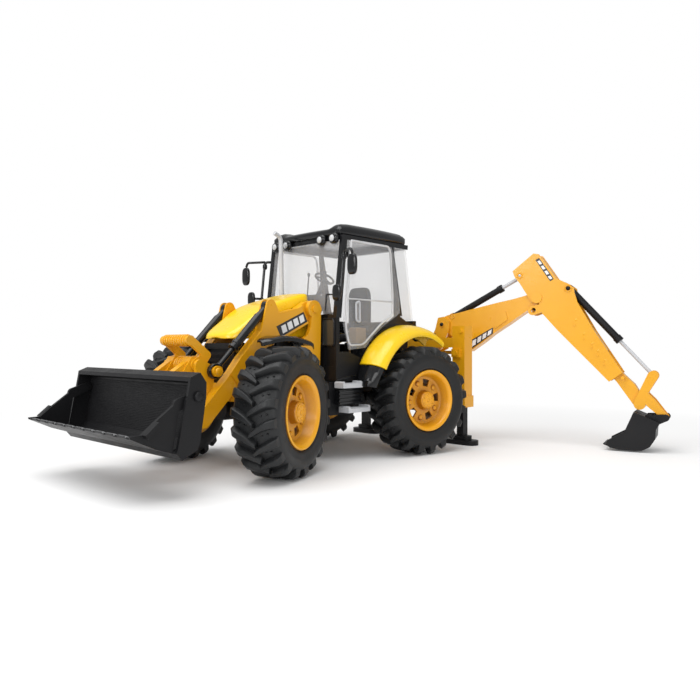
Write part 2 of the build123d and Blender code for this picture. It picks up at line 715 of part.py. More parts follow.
with BuildPart() as mudguards:
    # Black inner strips and front flaps that carry the fenders on the cab
    for sign in (-1, 1):
        inner, outer = sorted((sign * 36, sign * 46.4))
        plate(
            side,
            [
                ring_point(58.5, 40), ring_point(64, 40), ring_point(64, 50), ring_point(64, 60),
                ring_point(64, 75), ring_point(64, 90), ring_point(64, 105), ring_point(64, 120),
                ring_point(58.5, 120), ring_point(60, 105), ring_point(60.6, 90), ring_point(60, 75),
                ring_point(60, 60), ring_point(59.2, 50),
            ],
            inner, outer,
        )
        inner, outer = sorted((sign * 46.2, sign * 68))
        block(47.6, 50.4, inner, outer, 61, 76.6)
    # Short guards over the inner half of the front tyres, carried on the towers
    for sign in (-1, 1):
        inner, outer = sorted((sign * 32.4, sign * 58))
        guard = [
            (110, 94.6), (118, 97.8), (128, 100.2), (140, 101.4), (150, 100.6), (160, 97.8),
            (160, 99.6), (150, 102.4), (140, 103.2), (128, 102), (118, 99.6), (110, 96.6),
        ]
        plate(side, guard, inner, outer)
        inner, outer = sorted((sign * 32.4, sign * 37))
        plate(side, [(103, 80), (111, 80), (118, 98), (110, 95)], inner, outer)
save(mudguards.part, "mudguards")

# ---------------------------------------------------------------- rear frame and stabilisers

LEG_X0 = -79.2
LEG_X1 = -71.8
LEG_Y0 = 59.3
LEG_Y1 = 66.7

with BuildPart() as rear_frame:
    block(-80, -74, -34, 34, 52.5, 93.4)
    block(-82, -70, -56, 56, 93.4, 103)
    block(-82, -76, -56, 56, 86.8, 90.2)
    for sign in (-1, 1):
        inner, outer = sorted((sign * 56, sign * 70))
        block(-82, -69, inner, outer, 47, 114)
        inner, outer = sorted((sign * 55, sign * 71))
        block(-83, -68, inner, outer, 36, 47)
        inner, outer = sorted((sign * (LEG_Y0 - GAP), sign * (LEG_Y1 + GAP)))
        block(LEG_X0 - GAP, LEG_X1 + GAP, inner, outer, 30, 111, mode=Mode.SUBTRACT)
        inner, outer = sorted((sign * 34, sign * 56))
        block(-80, -74, inner, outer, 60, 66)
        # Clamp block with its round head, and the small knob near the top corner
        inner, outer = sorted((sign * 56.4, sign * 65.6))
        block(-69, -66.6, inner, outer, 84, 92)
        with BuildSketch(across(-66.6)) as heads:
            with Locations((sign * 61, 88)):
                Circle(2.6)
        extrude(heads.sketch, amount=1.2)
        with BuildSketch(across(-69)) as knob:
            with Locations((sign * 66, 109)):
                Circle(1.8)
        extrude(knob.sketch, amount=1.4)
save(rear_frame.part, "rear_frame")

with BuildPart() as leg:
    block(LEG_X0, LEG_X1, LEG_Y0, LEG_Y1, 4, 82)
    with BuildSketch(level(0)) as foot:
        with Locations((-75.5, 62)):
            SlotOverall(36, 15, rotation=90)
    extrude(foot.sketch, amount=4.5)
    with BuildSketch(level(4.5)) as ankle:
        with Locations((-75.5, 63)):
            SlotOverall(20, 10.4, rotation=90)
    extrude(ankle.sketch, amount=4)
save_pair(leg.part, "stabiliser_leg")

# ---------------------------------------------------------------- backhoe carriage

with BuildPart() as shift_carriage:
    # Slides along the two rails behind the frame and carries the swing post's lugs
    block(-88, -82.4, -22, 22, 78, 108)
    block(-82.4, -72, -22, 22, 103.4, 107)
    block(-82.4, -80.4, -22, 22, 82, 86.4)
    for low in (80, 101):
        disc(level, (SWING_X, 0), 7, low, low + 5)
        block(-100, -88, -7, 7, low, low + 5)
    disc(level, (SWING_X, 0), 2.95, 80, 106)
save(shift_carriage.part, "shift_carriage")

with BuildPart() as swing_post:
    disc(level, (SWING_X, 0), 7, 85.4, 100.6)
    plate(hoe, [(2, 85.4), (13, 85.4), (13, 100.6), (2, 100.6)], -6, 6)
    for low, high in ((-10.6, -BOOM_HALF - GAP), (BOOM_HALF + GAP, 10.6)):
        plate(
            hoe,
            [(10, 86), (22, 92), (30, 112), (30, 120), (24, 125), (18, 124), (15, 112), (9.4, 100.6)],
            low, high,
        )
    plate(hoe, [(9.4, 86), (13, 87), (17, 100.6), (9.4, 100.6)], -10.6, 10.6)
    disc(hoe, BOOM_FOOT, 2.6, -11.6, 11.6)
    disc(level, (SWING_X, 0), 2.95 + PIN_FIT, 80, 106, mode=Mode.SUBTRACT)
save(swing_post.part, "swing_post")

# ---------------------------------------------------------------- boom

with BuildPart() as boom:
    plate(
        hoe,
        [
            (15.8, 113), (19, 109), (27, 108.8), (51, 89.4), (64.8, 98.9), (75.1, 106.9), (90.3, 116.7),
            (105.1, 126.8), (122, 137), (123, 143), (118.4, 146), (110, 144.6), (95.2, 140.9), (80.1, 138),
            (59.5, 133.5), (39.3, 128.9), (27.3, 126.6), (17.4, 122.6), (15.6, 118),
        ],
        -BOOM_HALF, BOOM_HALF,
    )
    # Recess along the top for the dipper ram
    plate(
        hoe,
        [(20, 119.6), (36, 119.6), (92, 138), (92, 150), (16, 150), (16, 124)],
        -4.4, 4.4, mode=Mode.SUBTRACT,
    )
    disc(hoe, DIPPER_RAM_FOOT, 1.6, -BOOM_HALF, BOOM_HALF)
    disc(hoe, BOOM_FOOT, 2.6 + PIN_FIT, -12, 12, mode=Mode.SUBTRACT)
    disc(hoe, ELBOW, 2.4 + PIN_FIT, -12, 12, mode=Mode.SUBTRACT)
    # Raised pad on each flank
    for low, high in ((-7.8, -BOOM_HALF), (BOOM_HALF, 7.8)):
        plate(hoe, [(77, 112), (90, 121), (88, 129), (78, 127)], low, high)
save(boom.part, "boom")

# ---------------------------------------------------------------- dipper

with BuildPart() as dipper:
    for low, high in ((-DIPPER_OUT, -DIPPER_IN), (DIPPER_IN, DIPPER_OUT)):
        plate(
            hoe,
            [
                (115.4, 184.1), (95.2, 168), (97.4, 161.9), (101.9, 156.3), (109.5, 143.9), (113.6, 137),
                (121, 136), (123.5, 126.4), (138.6, 109.2), (157, 90.1), (174.1, 72.4), (184, 62.1),
                (195.5, 70.7), (170.7, 109.5), (156.2, 135.7), (153.5, 144.5), (152.8, 149.6),
                (147.8, 153.5), (136.5, 159.2), (120.5, 183),
            ],
            low, high,
        )
    # Spine that joins the cheeks, kept clear of the boom, of the rams and of the sliding arm
    plate(
        hoe,
        [(115.6, 183), (109, 178), (121, 158), (134, 151), (139, 146), (145, 155), (136.5, 158.6), (121, 181.6)],
        -DIPPER_IN, DIPPER_IN,
    )
    plate(
        hoe,
        [(128, 136), (136, 124), (152, 106), (186, 72), (195, 70.9), (170.2, 109.2), (154.2, 133), (145, 143)],
        -DIPPER_IN, DIPPER_IN,
    )
    # Closed tunnel for the sliding arm, along its own line
    plate(
        hoe,
        [(136.6, 114), (185, 61), (197, 71.6), (160.4, 118.8), (148, 126)],
        -5.6, 5.6, mode=Mode.SUBTRACT,
    )
    disc(hoe, ELBOW, 5.4, -DIPPER_OUT - 1, -DIPPER_IN)
    disc(hoe, ELBOW, 5.4, DIPPER_IN, DIPPER_OUT + 1)
    disc(hoe, ELBOW, 2.4, -DIPPER_OUT - 1, DIPPER_OUT + 1)
    # Short studs for the two ram eyes
    for low, high in ((-DIPPER_IN - 1, -2.8), (2.8, DIPPER_IN + 1)):
        disc(hoe, DIPPER_RAM_EYE, 2, low, high)
    disc(hoe, HOE_RAM_FOOT, 1.6, -DIPPER_IN - 1, DIPPER_IN + 1)
    # Lifting ring under the elbow
    for low, high in ((-DIPPER_OUT, -DIPPER_IN), (DIPPER_IN, DIPPER_OUT)):
        strap(hoe, [(122, 131, 4), (114.6, 129, 4.4)], low, high)
        disc(hoe, (115.4, 129.4), 2.4, low, high, mode=Mode.SUBTRACT)
    for bump in ((153.4, 114.7), (161.5, 102.4), (168.7, 93.9), (174, 86.4), (179.3, 78.1)):
        disc(hoe, bump, 1.1, DIPPER_OUT, DIPPER_OUT + 0.6)
save(dipper.part, "dipper")


# ---------------------------------------------------------------- sliding arm

ARM_DIR = ((HOE_RAM_EYE[0] - HOE_RAM_FOOT[0]), (HOE_RAM_EYE[1] - HOE_RAM_FOOT[1]))
ARM_DIR_LENGTH = math.hypot(*ARM_DIR)
ARM_MOUTH = (191.5, 67.3)


def on_arm(back, aside):
    """Point a distance back into the dipper from its mouth, and aside from the sliding line."""
    ux, uz = ARM_DIR[0] / ARM_DIR_LENGTH, ARM_DIR[1] / ARM_DIR_LENGTH
    return (ARM_MOUTH[0] - ux * back - uz * aside, ARM_MOUTH[1] - uz * back + ux * aside)


with BuildPart() as sliding_arm:
    plate(hoe, [on_arm(42, -4.6), on_arm(42, 4.6), on_arm(-8, 4.6), on_arm(-8, -4.6)], -5.2, 5.2)
    plate(hoe, [on_arm(-3, -4.6), on_arm(-3, 4.6), (205.4, 60), (214, 45), (205.4, 40)], -5.2, 5.2)
    disc(hoe, HOE_PIVOT, 5, -5.2, 5.2)
    disc(hoe, HOE_PIVOT, 2.2 + PIN_FIT, -6, 6, mode=Mode.SUBTRACT)
    disc(hoe, (196, 66), 1.5, -12.4, 12.4)
save(sliding_arm.part, "sliding_arm")

# ---------------------------------------------------------------- backhoe rams


def between(start, end, distance):
    """Point of the backhoe's middle plane at a distance from start towards end."""
    share = distance / math.hypot(end[0] - start[0], end[1] - start[1])
    return hoe_point(start[0] + (end[0] - start[0]) * share, start[1] + (end[1] - start[1]) * share)


def make_ram(foot, eye, barrel, barrel_r, rod_r, play, name):
    """Hollow barrel with an eye at its foot, and a rod that slides in it with an eye at its end."""
    length = math.hypot(eye[0] - foot[0], eye[1] - foot[1])
    with BuildPart() as cylinder:
        bar(between(foot, eye, 0), between(foot, eye, barrel), barrel_r)
        bar(between(foot, eye, barrel - 5), between(foot, eye, barrel), barrel_r + 0.6)
        disc(hoe, foot, barrel_r + 0.4, -3, 3)
        disc(hoe, foot, 1.6 + PIN_FIT, -4, 4, mode=Mode.SUBTRACT)
        bar(between(foot, eye, 8), between(foot, eye, barrel + 1), rod_r + play, mode=Mode.SUBTRACT)
    save(cylinder.part, f"{name}_barrel")
    with BuildPart() as plunger:
        bar(between(foot, eye, barrel - 28), between(foot, eye, length - 3), rod_r)
        disc(hoe, eye, 3.6, -2.3, 2.3)
        disc(hoe, eye, 1.6 + PIN_FIT, -3, 3, mode=Mode.SUBTRACT)
    save(plunger.part, f"{name}_rod")


make_ram(DIPPER_RAM_FOOT, DIPPER_RAM_EYE, 58, 3.2, 1.8, GAP, "dipper_ram")
make_ram(HOE_RAM_FOOT, HOE_RAM_EYE, 67, 3.3, 1.7, 1.0, "hoe_ram")

# ---------------------------------------------------------------- backhoe bucket

with BuildPart() as hoe_lever:
    for low, high in ((-8, -5.6), (5.6, 8)):
        strap(hoe, [HOE_RAM_EYE + (4.4,), (213.6, 55, 3.6)], low, high)
        strap(hoe, [(213.6, 55, 3.6), HOE_PIVOT + (5,)], low, high)
        strap(hoe, [(214, 51, 3), (219, 44, 4.4), (230.6, 31.6, 2.4)], low, high)
    disc(hoe, HOE_PIVOT, 2.2, -8, 8)
    disc(hoe, HOE_RAM_EYE, 1.6, -8, 8)
    plate(hoe, [(219.6, 45.4), (232.4, 32.4), (229.4, 29.8), (217.4, 41.4)], -8, 8)
save(hoe_lever.part, "hoe_lever")

HOE_BUCKET_OUTER = [
    (205.4, 36), (226.6, 27.2), (223.6, 21), (223.1, 12.8), (218.8, 5.6), (212.4, 1.9), (206.1, 1.2),
    (193, 1.6), (185.6, 3), (182.4, 5.4),
]
HOE_BUCKET_INNER = [
    (186.6, 4.6), (193.2, 3.4), (206, 3), (211.8, 3.7), (217.2, 6.9), (221.2, 13.4), (221.8, 20.8),
    (224, 26.4), (204.8, 34.4),
]

with BuildPart() as hoe_bucket:
    plate(hoe, HOE_BUCKET_OUTER + HOE_BUCKET_INNER, -16, 16)
    for low, high in ((-16, -14.2), (14.2, 16)):
        plate(hoe, HOE_BUCKET_OUTER + [(183.6, 9.6), (197.6, 17.6)], low, high)
    # Ears under the yellow hitch
    for low, high in ((-10.4, -8.2), (8.2, 10.4)):
        strap(hoe, [(216, 32, 1.6), (226, 27.6, 1.8), (231, 31.4, 3)], low, high)
    disc(hoe, (231, 31.4), 1.5, -10.4, -8)
    disc(hoe, (231, 31.4), 1.5, 8, 10.4)
    for tooth in range(-2, 3):
        offset = tooth * 6.6
        plate(hoe, [(186, 3.2), (180, 5.2), (179.6, 6.2), (184.8, 6)], offset - 1.6, offset + 1.6)
save(hoe_bucket.part, "hoe_bucket")
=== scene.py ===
import math
import json

import bmesh
import bpy
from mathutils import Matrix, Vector


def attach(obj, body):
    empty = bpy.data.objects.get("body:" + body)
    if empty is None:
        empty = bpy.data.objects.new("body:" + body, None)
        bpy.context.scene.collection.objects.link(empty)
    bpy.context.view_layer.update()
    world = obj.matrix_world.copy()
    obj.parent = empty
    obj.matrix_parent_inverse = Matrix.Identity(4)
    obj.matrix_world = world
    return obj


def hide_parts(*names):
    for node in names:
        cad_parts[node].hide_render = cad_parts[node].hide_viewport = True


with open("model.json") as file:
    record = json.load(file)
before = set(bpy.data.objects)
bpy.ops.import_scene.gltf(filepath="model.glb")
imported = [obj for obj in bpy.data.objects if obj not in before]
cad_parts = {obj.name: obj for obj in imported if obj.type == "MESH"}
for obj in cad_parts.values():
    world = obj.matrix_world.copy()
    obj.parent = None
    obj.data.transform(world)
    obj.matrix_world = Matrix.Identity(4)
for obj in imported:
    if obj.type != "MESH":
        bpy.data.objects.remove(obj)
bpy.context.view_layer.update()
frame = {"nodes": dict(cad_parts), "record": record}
bpy.context.scene.view_settings.view_transform = "Standard"

MM = 0.001
CENTRE_X = 51.0
CENTRE_Y = 66.5


def place(x, y, z):
    """Machine coordinates in mm (X forward, Y left, Z up from the ground) to the row frame in metres."""
    return Vector(((x - CENTRE_X) * MM, (y - CENTRE_Y) * MM, z * MM))


def side_point(x, z, y):
    """The same for an outline that is drawn as seen from the side."""
    return place(x, y, z)


# ---------------------------------------------------------------- materials


def new_material(name):
    material = bpy.data.materials.new(name)
    material.use_nodes = True
    nodes = material.node_tree.nodes
    shader = nodes["Principled BSDF"]
    return material, material.node_tree, shader


def add_node(tree, kind, **inputs):
    node = tree.nodes.new(kind)
    for key, value in inputs.items():
        node.inputs[key.replace("_", " ")].default_value = value
    return node


def object_noise(tree, scale, detail=3.0, roughness=0.55):
    place_node = tree.nodes.new("ShaderNodeTexCoord")
    noise = add_node(tree, "ShaderNodeTexNoise", Scale=scale, Detail=detail, Roughness=roughness)
    tree.links.new(place_node.outputs["Object"], noise.inputs["Vector"])
    return noise


def ramp(tree, source, low, high, start=0.35, end=0.65):
    node = tree.nodes.new("ShaderNodeValToRGB")
    node.color_ramp.elements[0].position = start
    node.color_ramp.elements[0].color = low
    node.color_ramp.elements[1].position = end
    node.color_ramp.elements[1].color = high
    tree.links.new(source, node.inputs["Fac"])
    return node


def plastic(name, low, high, rough_low, rough_high, grain, grain_scale, coat=0.0, specular=0.5, mottle=14.0):
    """Moulded plastic: cloudy colour, uneven gloss and a fine surface grain."""
    material, tree, shader = new_material(name)
    cloud = object_noise(tree, mottle, 4.0)
    tint = ramp(tree, cloud.outputs["Fac"], (*low, 1), (*high, 1), 0.3, 0.7)
    tree.links.new(tint.outputs["Color"], shader.inputs["Base Color"])
    smear = object_noise(tree, mottle * 6, 5.0)
    gloss = ramp(tree, smear.outputs["Fac"], (rough_low,) * 3 + (1,), (rough_high,) * 3 + (1,), 0.3, 0.7)
    tree.links.new(gloss.outputs["Color"], shader.inputs["Roughness"])
    fine = object_noise(tree, grain_scale, 2.0)
    wave = object_noise(tree, 60.0, 2.0)
    bump = add_node(tree, "ShaderNodeBump", Strength=grain, Distance=0.0002)
    sink = add_node(tree, "ShaderNodeBump", Strength=0.12, Distance=0.001)
    tree.links.new(wave.outputs["Fac"], sink.inputs["Height"])
    tree.links.new(fine.outputs["Fac"], bump.inputs["Height"])
    tree.links.new(sink.outputs["Normal"], bump.inputs["Normal"])
    tree.links.new(bump.outputs["Normal"], shader.inputs["Normal"])
    shader.inputs["Specular IOR Level"].default_value = specular
    shader.inputs["Coat Weight"].default_value = coat
    shader.inputs["Coat Roughness"].default_value = 0.12
    return material


YELLOW = plastic(
    "yellow_plastic", (0.74, 0.335, 0.004), (0.80, 0.385, 0.007), 0.26, 0.38, 0.12, 2600, coat=0.12,
)
# A lighter, lemon copy of the yellow plastic for the hood and fenders: painted light, standing in for the
# strong top light on their upward faces.
TOP_LIT_YELLOW = plastic(
    "yellow_plastic_painted_top_light", (0.90, 0.56, 0.004), (0.94, 0.62, 0.007), 0.20, 0.30, 0.10, 2600, coat=0.25,
)
RIM_YELLOW = plastic(
    "rim_yellow_plastic", (0.80, 0.35, 0.004), (0.87, 0.42, 0.008), 0.28, 0.40, 0.12, 2600, coat=0.1,
)


def shade_recess(material, dark, reach):
    """Darken a plastic where it lies deep in a dish: painted shade, driven by ambient occlusion."""
    tree = material.node_tree
    shader = tree.nodes["Principled BSDF"]
    bright = shader.inputs["Base Color"].links[0].from_socket
    depth = tree.nodes.new("ShaderNodeAmbientOcclusion")
    depth.inputs["Distance"].default_value = reach
    depth.samples = 6
    spread = tree.nodes.new("ShaderNodeMapRange")
    spread.inputs["From Min"].default_value = 0.5
    spread.inputs["From Max"].default_value = 0.82
    blend = tree.nodes.new("ShaderNodeMix")
    blend.data_type = "RGBA"
    blend.inputs[6].default_value = (*dark, 1)
    tree.links.new(depth.outputs["AO"], spread.inputs["Value"])
    tree.links.new(spread.outputs["Result"], blend.inputs[0])
    tree.links.new(bright, blend.inputs[7])
    tree.links.new(blend.outputs[2], shader.inputs["Base Color"])


# Painted shade on the rims: the dish and web turn darker orange where ambient occlusion finds them enclosed.
shade_recess(RIM_YELLOW, (0.33, 0.115, 0.002), 0.022)
BLACK = plastic(
    "black_plastic", (0.006, 0.006, 0.007), (0.011, 0.011, 0.012), 0.34, 0.48, 0.35, 3000, specular=0.22,
)
GREY_BLACK = plastic(
    "charcoal_plastic", (0.016, 0.017, 0.019), (0.026, 0.027, 0.03), 0.36, 0.5, 0.3, 3000, specular=0.3,
)
GLOSS_BLACK = plastic(
    "gloss_black_plastic", (0.005, 0.0055, 0.006), (0.008, 0.0085, 0.010), 0.14, 0.22, 0.05, 2600,
    coat=0.22, specular=0.3,
)
SILVER = plastic("silver_plastic", (0.46, 0.47, 0.49), (0.60, 0.61, 0.63), 0.24, 0.34, 0.15, 3200, coat=0.1)
RUBBER = plastic(
    "tyre_rubber", (0.008, 0.0085, 0.009), (0.015, 0.016, 0.017), 0.36, 0.52, 0.5, 1800, specular=0.36,
)
SEAT = plastic("seat_plastic", (0.012, 0.012, 0.014), (0.022, 0.022, 0.025), 0.5, 0.62, 0.5, 2200)
TAN = plastic("console_tan_plastic", (0.34, 0.21, 0.09), (0.42, 0.27, 0.12), 0.4, 0.5, 0.3, 2200)
# Lighter grey for the tube along the bucket lip: a painted highlight, standing in for light catching the
# scalloped edge.
LIP_HIGHLIGHT_GREY = plastic(
    "lip_painted_highlight_plastic", (0.05, 0.051, 0.054), (0.10, 0.101, 0.105), 0.2, 0.3, 0.2, 2600, coat=0.2,
)
PANEL_GREY = plastic(
    "panel_olive_grey_plastic", (0.028, 0.029, 0.026), (0.045, 0.046, 0.041), 0.12, 0.2, 0.05, 2600, coat=0.4,
)


def clear_plastic(name, tint, alpha):
    """Thin clear moulding: lets the inside show through, with smeary gloss on its surface."""
    material, tree, shader = new_material(name)
    smear = object_noise(tree, 90, 4.0)
    gloss = ramp(tree, smear.outputs["Fac"], (0.03, 0.03, 0.03, 1), (0.10, 0.10, 0.10, 1))
    tree.links.new(gloss.outputs["Color"], shader.inputs["Roughness"])
    cloud = object_noise(tree, 30, 3.0)
    shade = ramp(tree, cloud.outputs["Fac"], (*(tint * 0.85,) * 3, 1), (tint, tint, tint * 1.03, 1))
    tree.links.new(shade.outputs["Color"], shader.inputs["Base Color"])
    shader.inputs["Alpha"].default_value = alpha
    shader.inputs["Specular IOR Level"].default_value = 0.8
    material.surface_render_method = "BLENDED"
    return material


CLEAR = clear_plastic("clear_plastic", 0.78, 0.17)
FROSTED = clear_plastic("frosted_clear_plastic", 0.8, 0.6)

SLOT_MATERIAL = {
    "yellow_plastic": YELLOW,
    "black_plastic": BLACK,
    "gloss_black": GLOSS_BLACK,
    "dark_grey_plastic": SEAT,
    "silver_plastic": SILVER,
    "clear_plastic": CLEAR,
    "tyre_rubber": RUBBER,
}

NODE_MATERIAL = {"cab_frame": GLOSS_BLACK, "dashboard": GREY_BLACK, "tilt_lever": YELLOW}

node_slots = {entry["node"]: entry["material_slot"] for entry in frame["record"]["subparts"]}

for node_name, node in frame["nodes"].items():
    node.data.materials.clear()
    node.data.materials.append(NODE_MATERIAL.get(node_name) or SLOT_MATERIAL[node_slots[node_name]])
    edge = node.modifiers.new("soft_edges", "BEVEL")
    edge.width = 0.35 * MM
    edge.segments = 2
    edge.limit_method = "ANGLE"
    edge.angle_limit = math.radians(35)
    edge.harden_normals = True

# ---------------------------------------------------------------- mesh helpers


def mesh_object(name, vertices, faces, material, body, slot_name, smooth=True):
    mesh = bpy.data.meshes.new(name)
    mesh.from_pydata([tuple(v) for v in vertices], [], faces)
    work = bmesh.new()
    work.from_mesh(mesh)
    bmesh.ops.recalc_face_normals(work, faces=work.faces)
    work.to_mesh(mesh)
    work.free()
    mesh.materials.append(material)
    obj = bpy.data.objects.new(name, mesh)
    bpy.context.scene.collection.objects.link(obj)
    if smooth:
        for polygon in mesh.polygons:
            polygon.use_smooth = True
    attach(obj, body)
    return obj


def soften(obj, width, segments=2, angle=35):
    edge = obj.modifiers.new("soft_edges", "BEVEL")
    edge.width = width * MM
    edge.segments = segments
    edge.limit_method = "ANGLE"
    edge.angle_limit = math.radians(angle)
    edge.harden_normals = True
    return obj


def add_lathe(vertices, faces, profile, spot, segments):
    """Adds a closed (along, radius) profile turned full circle; spot(along, radius, angle) gives a point."""
    base = len(vertices)
    count = len(profile)
    for step in range(segments):
        angle = 2 * math.pi * step / segments
        for along, radius in profile:
            vertices.append(spot(along, radius, angle))
    for step in range(segments):
        here = base + step * count
        there = base + (step + 1) % segments * count
        for k in range(count):
            m = (k + 1) % count
            faces.append((here + k, here + m, there + m, there + k))


def add_sweep(vertices, faces, sections):
    """Adds a closed solid through equal-length rings of points."""
    base = len(vertices)
    count = len(sections[0])
    for ring in sections:
        vertices.extend(ring)
    for step in range(len(sections) - 1):
        here = base + step * count
        for k in range(count):
            m = (k + 1) % count
            faces.append((here + k, here + m, here + count + m, here + count + k))
    faces.append(tuple(base + k for k in range(count)))
    last = base + (len(sections) - 1) * count
    faces.append(tuple(last + k for k in reversed(range(count))))


# ---------------------------------------------------------------- wheels

FRONT_AXLE_X = 152.6
REAR_AXLE_X = -3.6
PIVOT_Y = 63.0
HUB_Z = 47.5
TREAD_MIDDLE = 2.0
LUGS = 20
LUG_LEAD = math.radians(11)

CARCASS = [
    (-12.9, 24.05), (-13.6, 27.0), (-15.2, 31.0), (-15.9, 36.0), (-15.0, 39.6), (-12.6, 41.6), (-8.0, 42.6),
    (2.0, 43.0), (12.0, 42.6), (16.6, 41.4), (18.9, 39.4), (19.7, 36.6), (19.5, 32.6), (18.8, 30.4),
    (18.9, 29.0), (18.1, 27.6), (17.3, 27.2), (16.9, 24.05),
]


def carcass_radius(across):
    """Height of the tyre's own surface under a lug, which falls away at the shoulders."""
    share = abs(across) / 17.5
    return 42.6 - 4.6 * max(0.0, (share - 0.72) / 0.28) ** 1.4


def wheel_spot(axle_x, sign, steer):
    """Function from (outboard, radius, angle from the top to the front) to a point of a steered wheel."""
    turn = math.radians(steer)
    outboard = Vector((-sign * math.sin(turn), sign * math.cos(turn), 0))
    ahead = Vector((math.cos(turn), math.sin(turn), 0))
    middle = place(axle_x, sign * PIVOT_Y, HUB_Z)

    def spot(along, radius, angle):
        upright = Vector((0, 0, math.cos(angle)))
        return middle + (outboard * along + (upright + ahead * math.sin(angle)) * radius) * MM

    return spot


def lug_sections(spot, half, start):
    """Rings of one tread lug, from just past the tread's middle out to its shoulder."""
    rings = []
    steps = 9
    for step in range(steps + 1):
        t = step / steps
        across = -1.8 + t * (16.8 + 1.8)
        angle = start + LUG_LEAD * (1 - t) ** 1.6
        top = 47.2 - 3.4 * max(0.0, (t - 0.72) / 0.28) ** 2
        foot = carcass_radius(across) - 0.6
        width = 3.6 + 2.2 * t - 1.0 * max(0.0, 0.2 - t) / 0.2
        flare = 0.9
        ring = []
        for aside, radius in (
            (-width / 2 - flare, foot), (-width / 2, top - 0.6), (-width / 2 + 0.6, top),
            (width / 2 - 0.6, top), (width / 2, top - 0.6), (width / 2 + flare, foot),
        ):
            ring.append(spot(TREAD_MIDDLE + half * across, radius, angle + aside / radius))
        rings.append(ring)
    return rings


def make_tyre(axle_x, sign, steer, name):
    spot = wheel_spot(axle_x, sign, steer)
    vertices, faces = [], []
    add_lathe(vertices, faces, CARCASS, spot, 96)
    for number in range(LUGS):
        for half in (-1, 1):
            start = 2 * math.pi * (number + (0.25 if half > 0 else 0.75)) / LUGS
            add_sweep(vertices, faces, lug_sections(spot, half, start))
            # Small moulding nubs in the groove beside each lug
            for nub_across, nub_lead in ((6.4, 1.28), (10.6, 1.12)):
                nub = []
                for ring_step in range(3):
                    height = 42.2 + 0.6 * ring_step
                    size = (1.1, 1.0, 0.5)[ring_step]
                    nub.append([
                        spot(
                            TREAD_MIDDLE + half * (nub_across + size * math.cos(k * math.pi / 4)), height,
                            start + math.pi / LUGS * nub_lead + 0.7 * size * math.sin(k * math.pi / 4) / 43,
                        )
                        for k in range(8)
                    ])
                add_sweep(vertices, faces, nub)
    tyre = mesh_object(f"{name}_tread_tyre", vertices, faces, RUBBER, f"{name}_wheel", "tyre_rubber")
    soften(tyre, 0.32, 2, 38)
    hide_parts(f"{name}_tyre")


RIM_LOOP = [
    (9.4, 8.6), (9.2, 12.2), (9.0, 18.4), (9.2, 20.2), (10.0, 21.0), (16.2, 22.7), (17.4, 23.4), (18.5, 24.7),
    (18.9, 25.6), (18.5, 26.5), (17.2, 26.8), (16.95, 24.05), (-12.9, 24.05), (-13.0, 26.6), (-14.4, 26.6),
    (-14.6, 21.8), (5.6, 21.4), (6.8, 20.2), (7.0, 18.4), (7.2, 12.2), (7.2, 8.6), (7.2, 3.0), (14.2, 3.0),
    (14.2, 0.01), (16.0, 0.01), (16.1, 5.6), (15.9, 6.6), (15.2, 7.4), (14.0, 7.8), (10.4, 8.0),
]
FRONT_WEB = 1
BACK_WEB = 18
RIM_STEPS = 90
HOLE_COUNT = 5
HOLE_STEPS = 6
HOLE_TURN = -12


def make_rim(axle_x, sign, steer, name):
    """Dished rim with square holes through its web, small bosses beside them and a dotted hub cap."""
    spot = wheel_spot(axle_x, sign, steer)
    turn = math.radians(steer)
    outboard = Vector((-sign * math.sin(turn), sign * math.cos(turn), 0))
    count = len(RIM_LOOP)
    per_hole = RIM_STEPS // HOLE_COUNT
    vertices, faces = [], []
    lead = math.radians(HOLE_TURN) - HOLE_STEPS / 2 * 2 * math.pi / RIM_STEPS
    for step in range(RIM_STEPS):
        for along, radius in RIM_LOOP:
            vertices.append(spot(along, radius, lead + 2 * math.pi * step / RIM_STEPS))
    for step in range(RIM_STEPS):
        here, there = step * count, (step + 1) % RIM_STEPS * count
        in_hole = step % per_hole < HOLE_STEPS
        for k in range(count):
            m = (k + 1) % count
            if not (in_hole and k in (FRONT_WEB, BACK_WEB)):
                faces.append((here + k, here + m, there + m, there + k))
        if in_hole:
            faces.append((here + FRONT_WEB, there + FRONT_WEB, there + BACK_WEB + 1, here + BACK_WEB + 1))
            faces.append((here + FRONT_WEB + 1, there + FRONT_WEB + 1, there + BACK_WEB, here + BACK_WEB))
    for hole in range(HOLE_COUNT):
        for edge_step in (hole * per_hole, (hole * per_hole + HOLE_STEPS) % RIM_STEPS):
            here = edge_step * count
            faces.append((here + FRONT_WEB, here + FRONT_WEB + 1, here + BACK_WEB, here + BACK_WEB + 1))
    rim = mesh_object(f"{name}_dished_rim", vertices, faces, RIM_YELLOW, f"{name}_wheel", "yellow_plastic")
    soften(rim, 0.3, 2, 40)
    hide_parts(f"{name}_rim")

    parts = []
    for k in range(HOLE_COUNT):
        angle = math.radians(HOLE_TURN) + 2 * math.pi * (k + 0.5) / HOLE_COUNT
        parts.append(dome_mesh(spot(8.9, 15.6, angle), outboard, 2.5, 1.6, 5, 20, 0.5))
    for k in range(6):
        parts.append(dome_mesh(spot(15.9, 4.4, 2 * math.pi * k / 6), outboard, 1.0, 0.8, 4, 14))
    parts.append(dome_mesh(spot(15.9, 0, 0), outboard, 1.5, 0.9, 4, 16))
    cap = [spot(16.0, 6.2, 2 * math.pi * k / 40) for k in range(40)]
    parts.append(tube_mesh(cap, 0.4, 8, closed=True))
    mesh_object(f"{name}_hub_trim", *join_meshes(parts), RIM_YELLOW, f"{name}_wheel", "yellow_plastic")


# ---------------------------------------------------------------- trim shapes


SWING_X = -100.0
SWING = math.radians(75.0)
HOE_ALONG = Vector((-math.cos(SWING), math.sin(SWING), 0))
HOE_ACROSS = Vector((math.sin(SWING), math.cos(SWING), 0))


def hoe_point(s, z, w):
    """Point of the swung digging arm: distance from the swing axis, height, and distance to the side."""
    return place(SWING_X, 0, z) + (HOE_ALONG * s + HOE_ACROSS * w) * MM


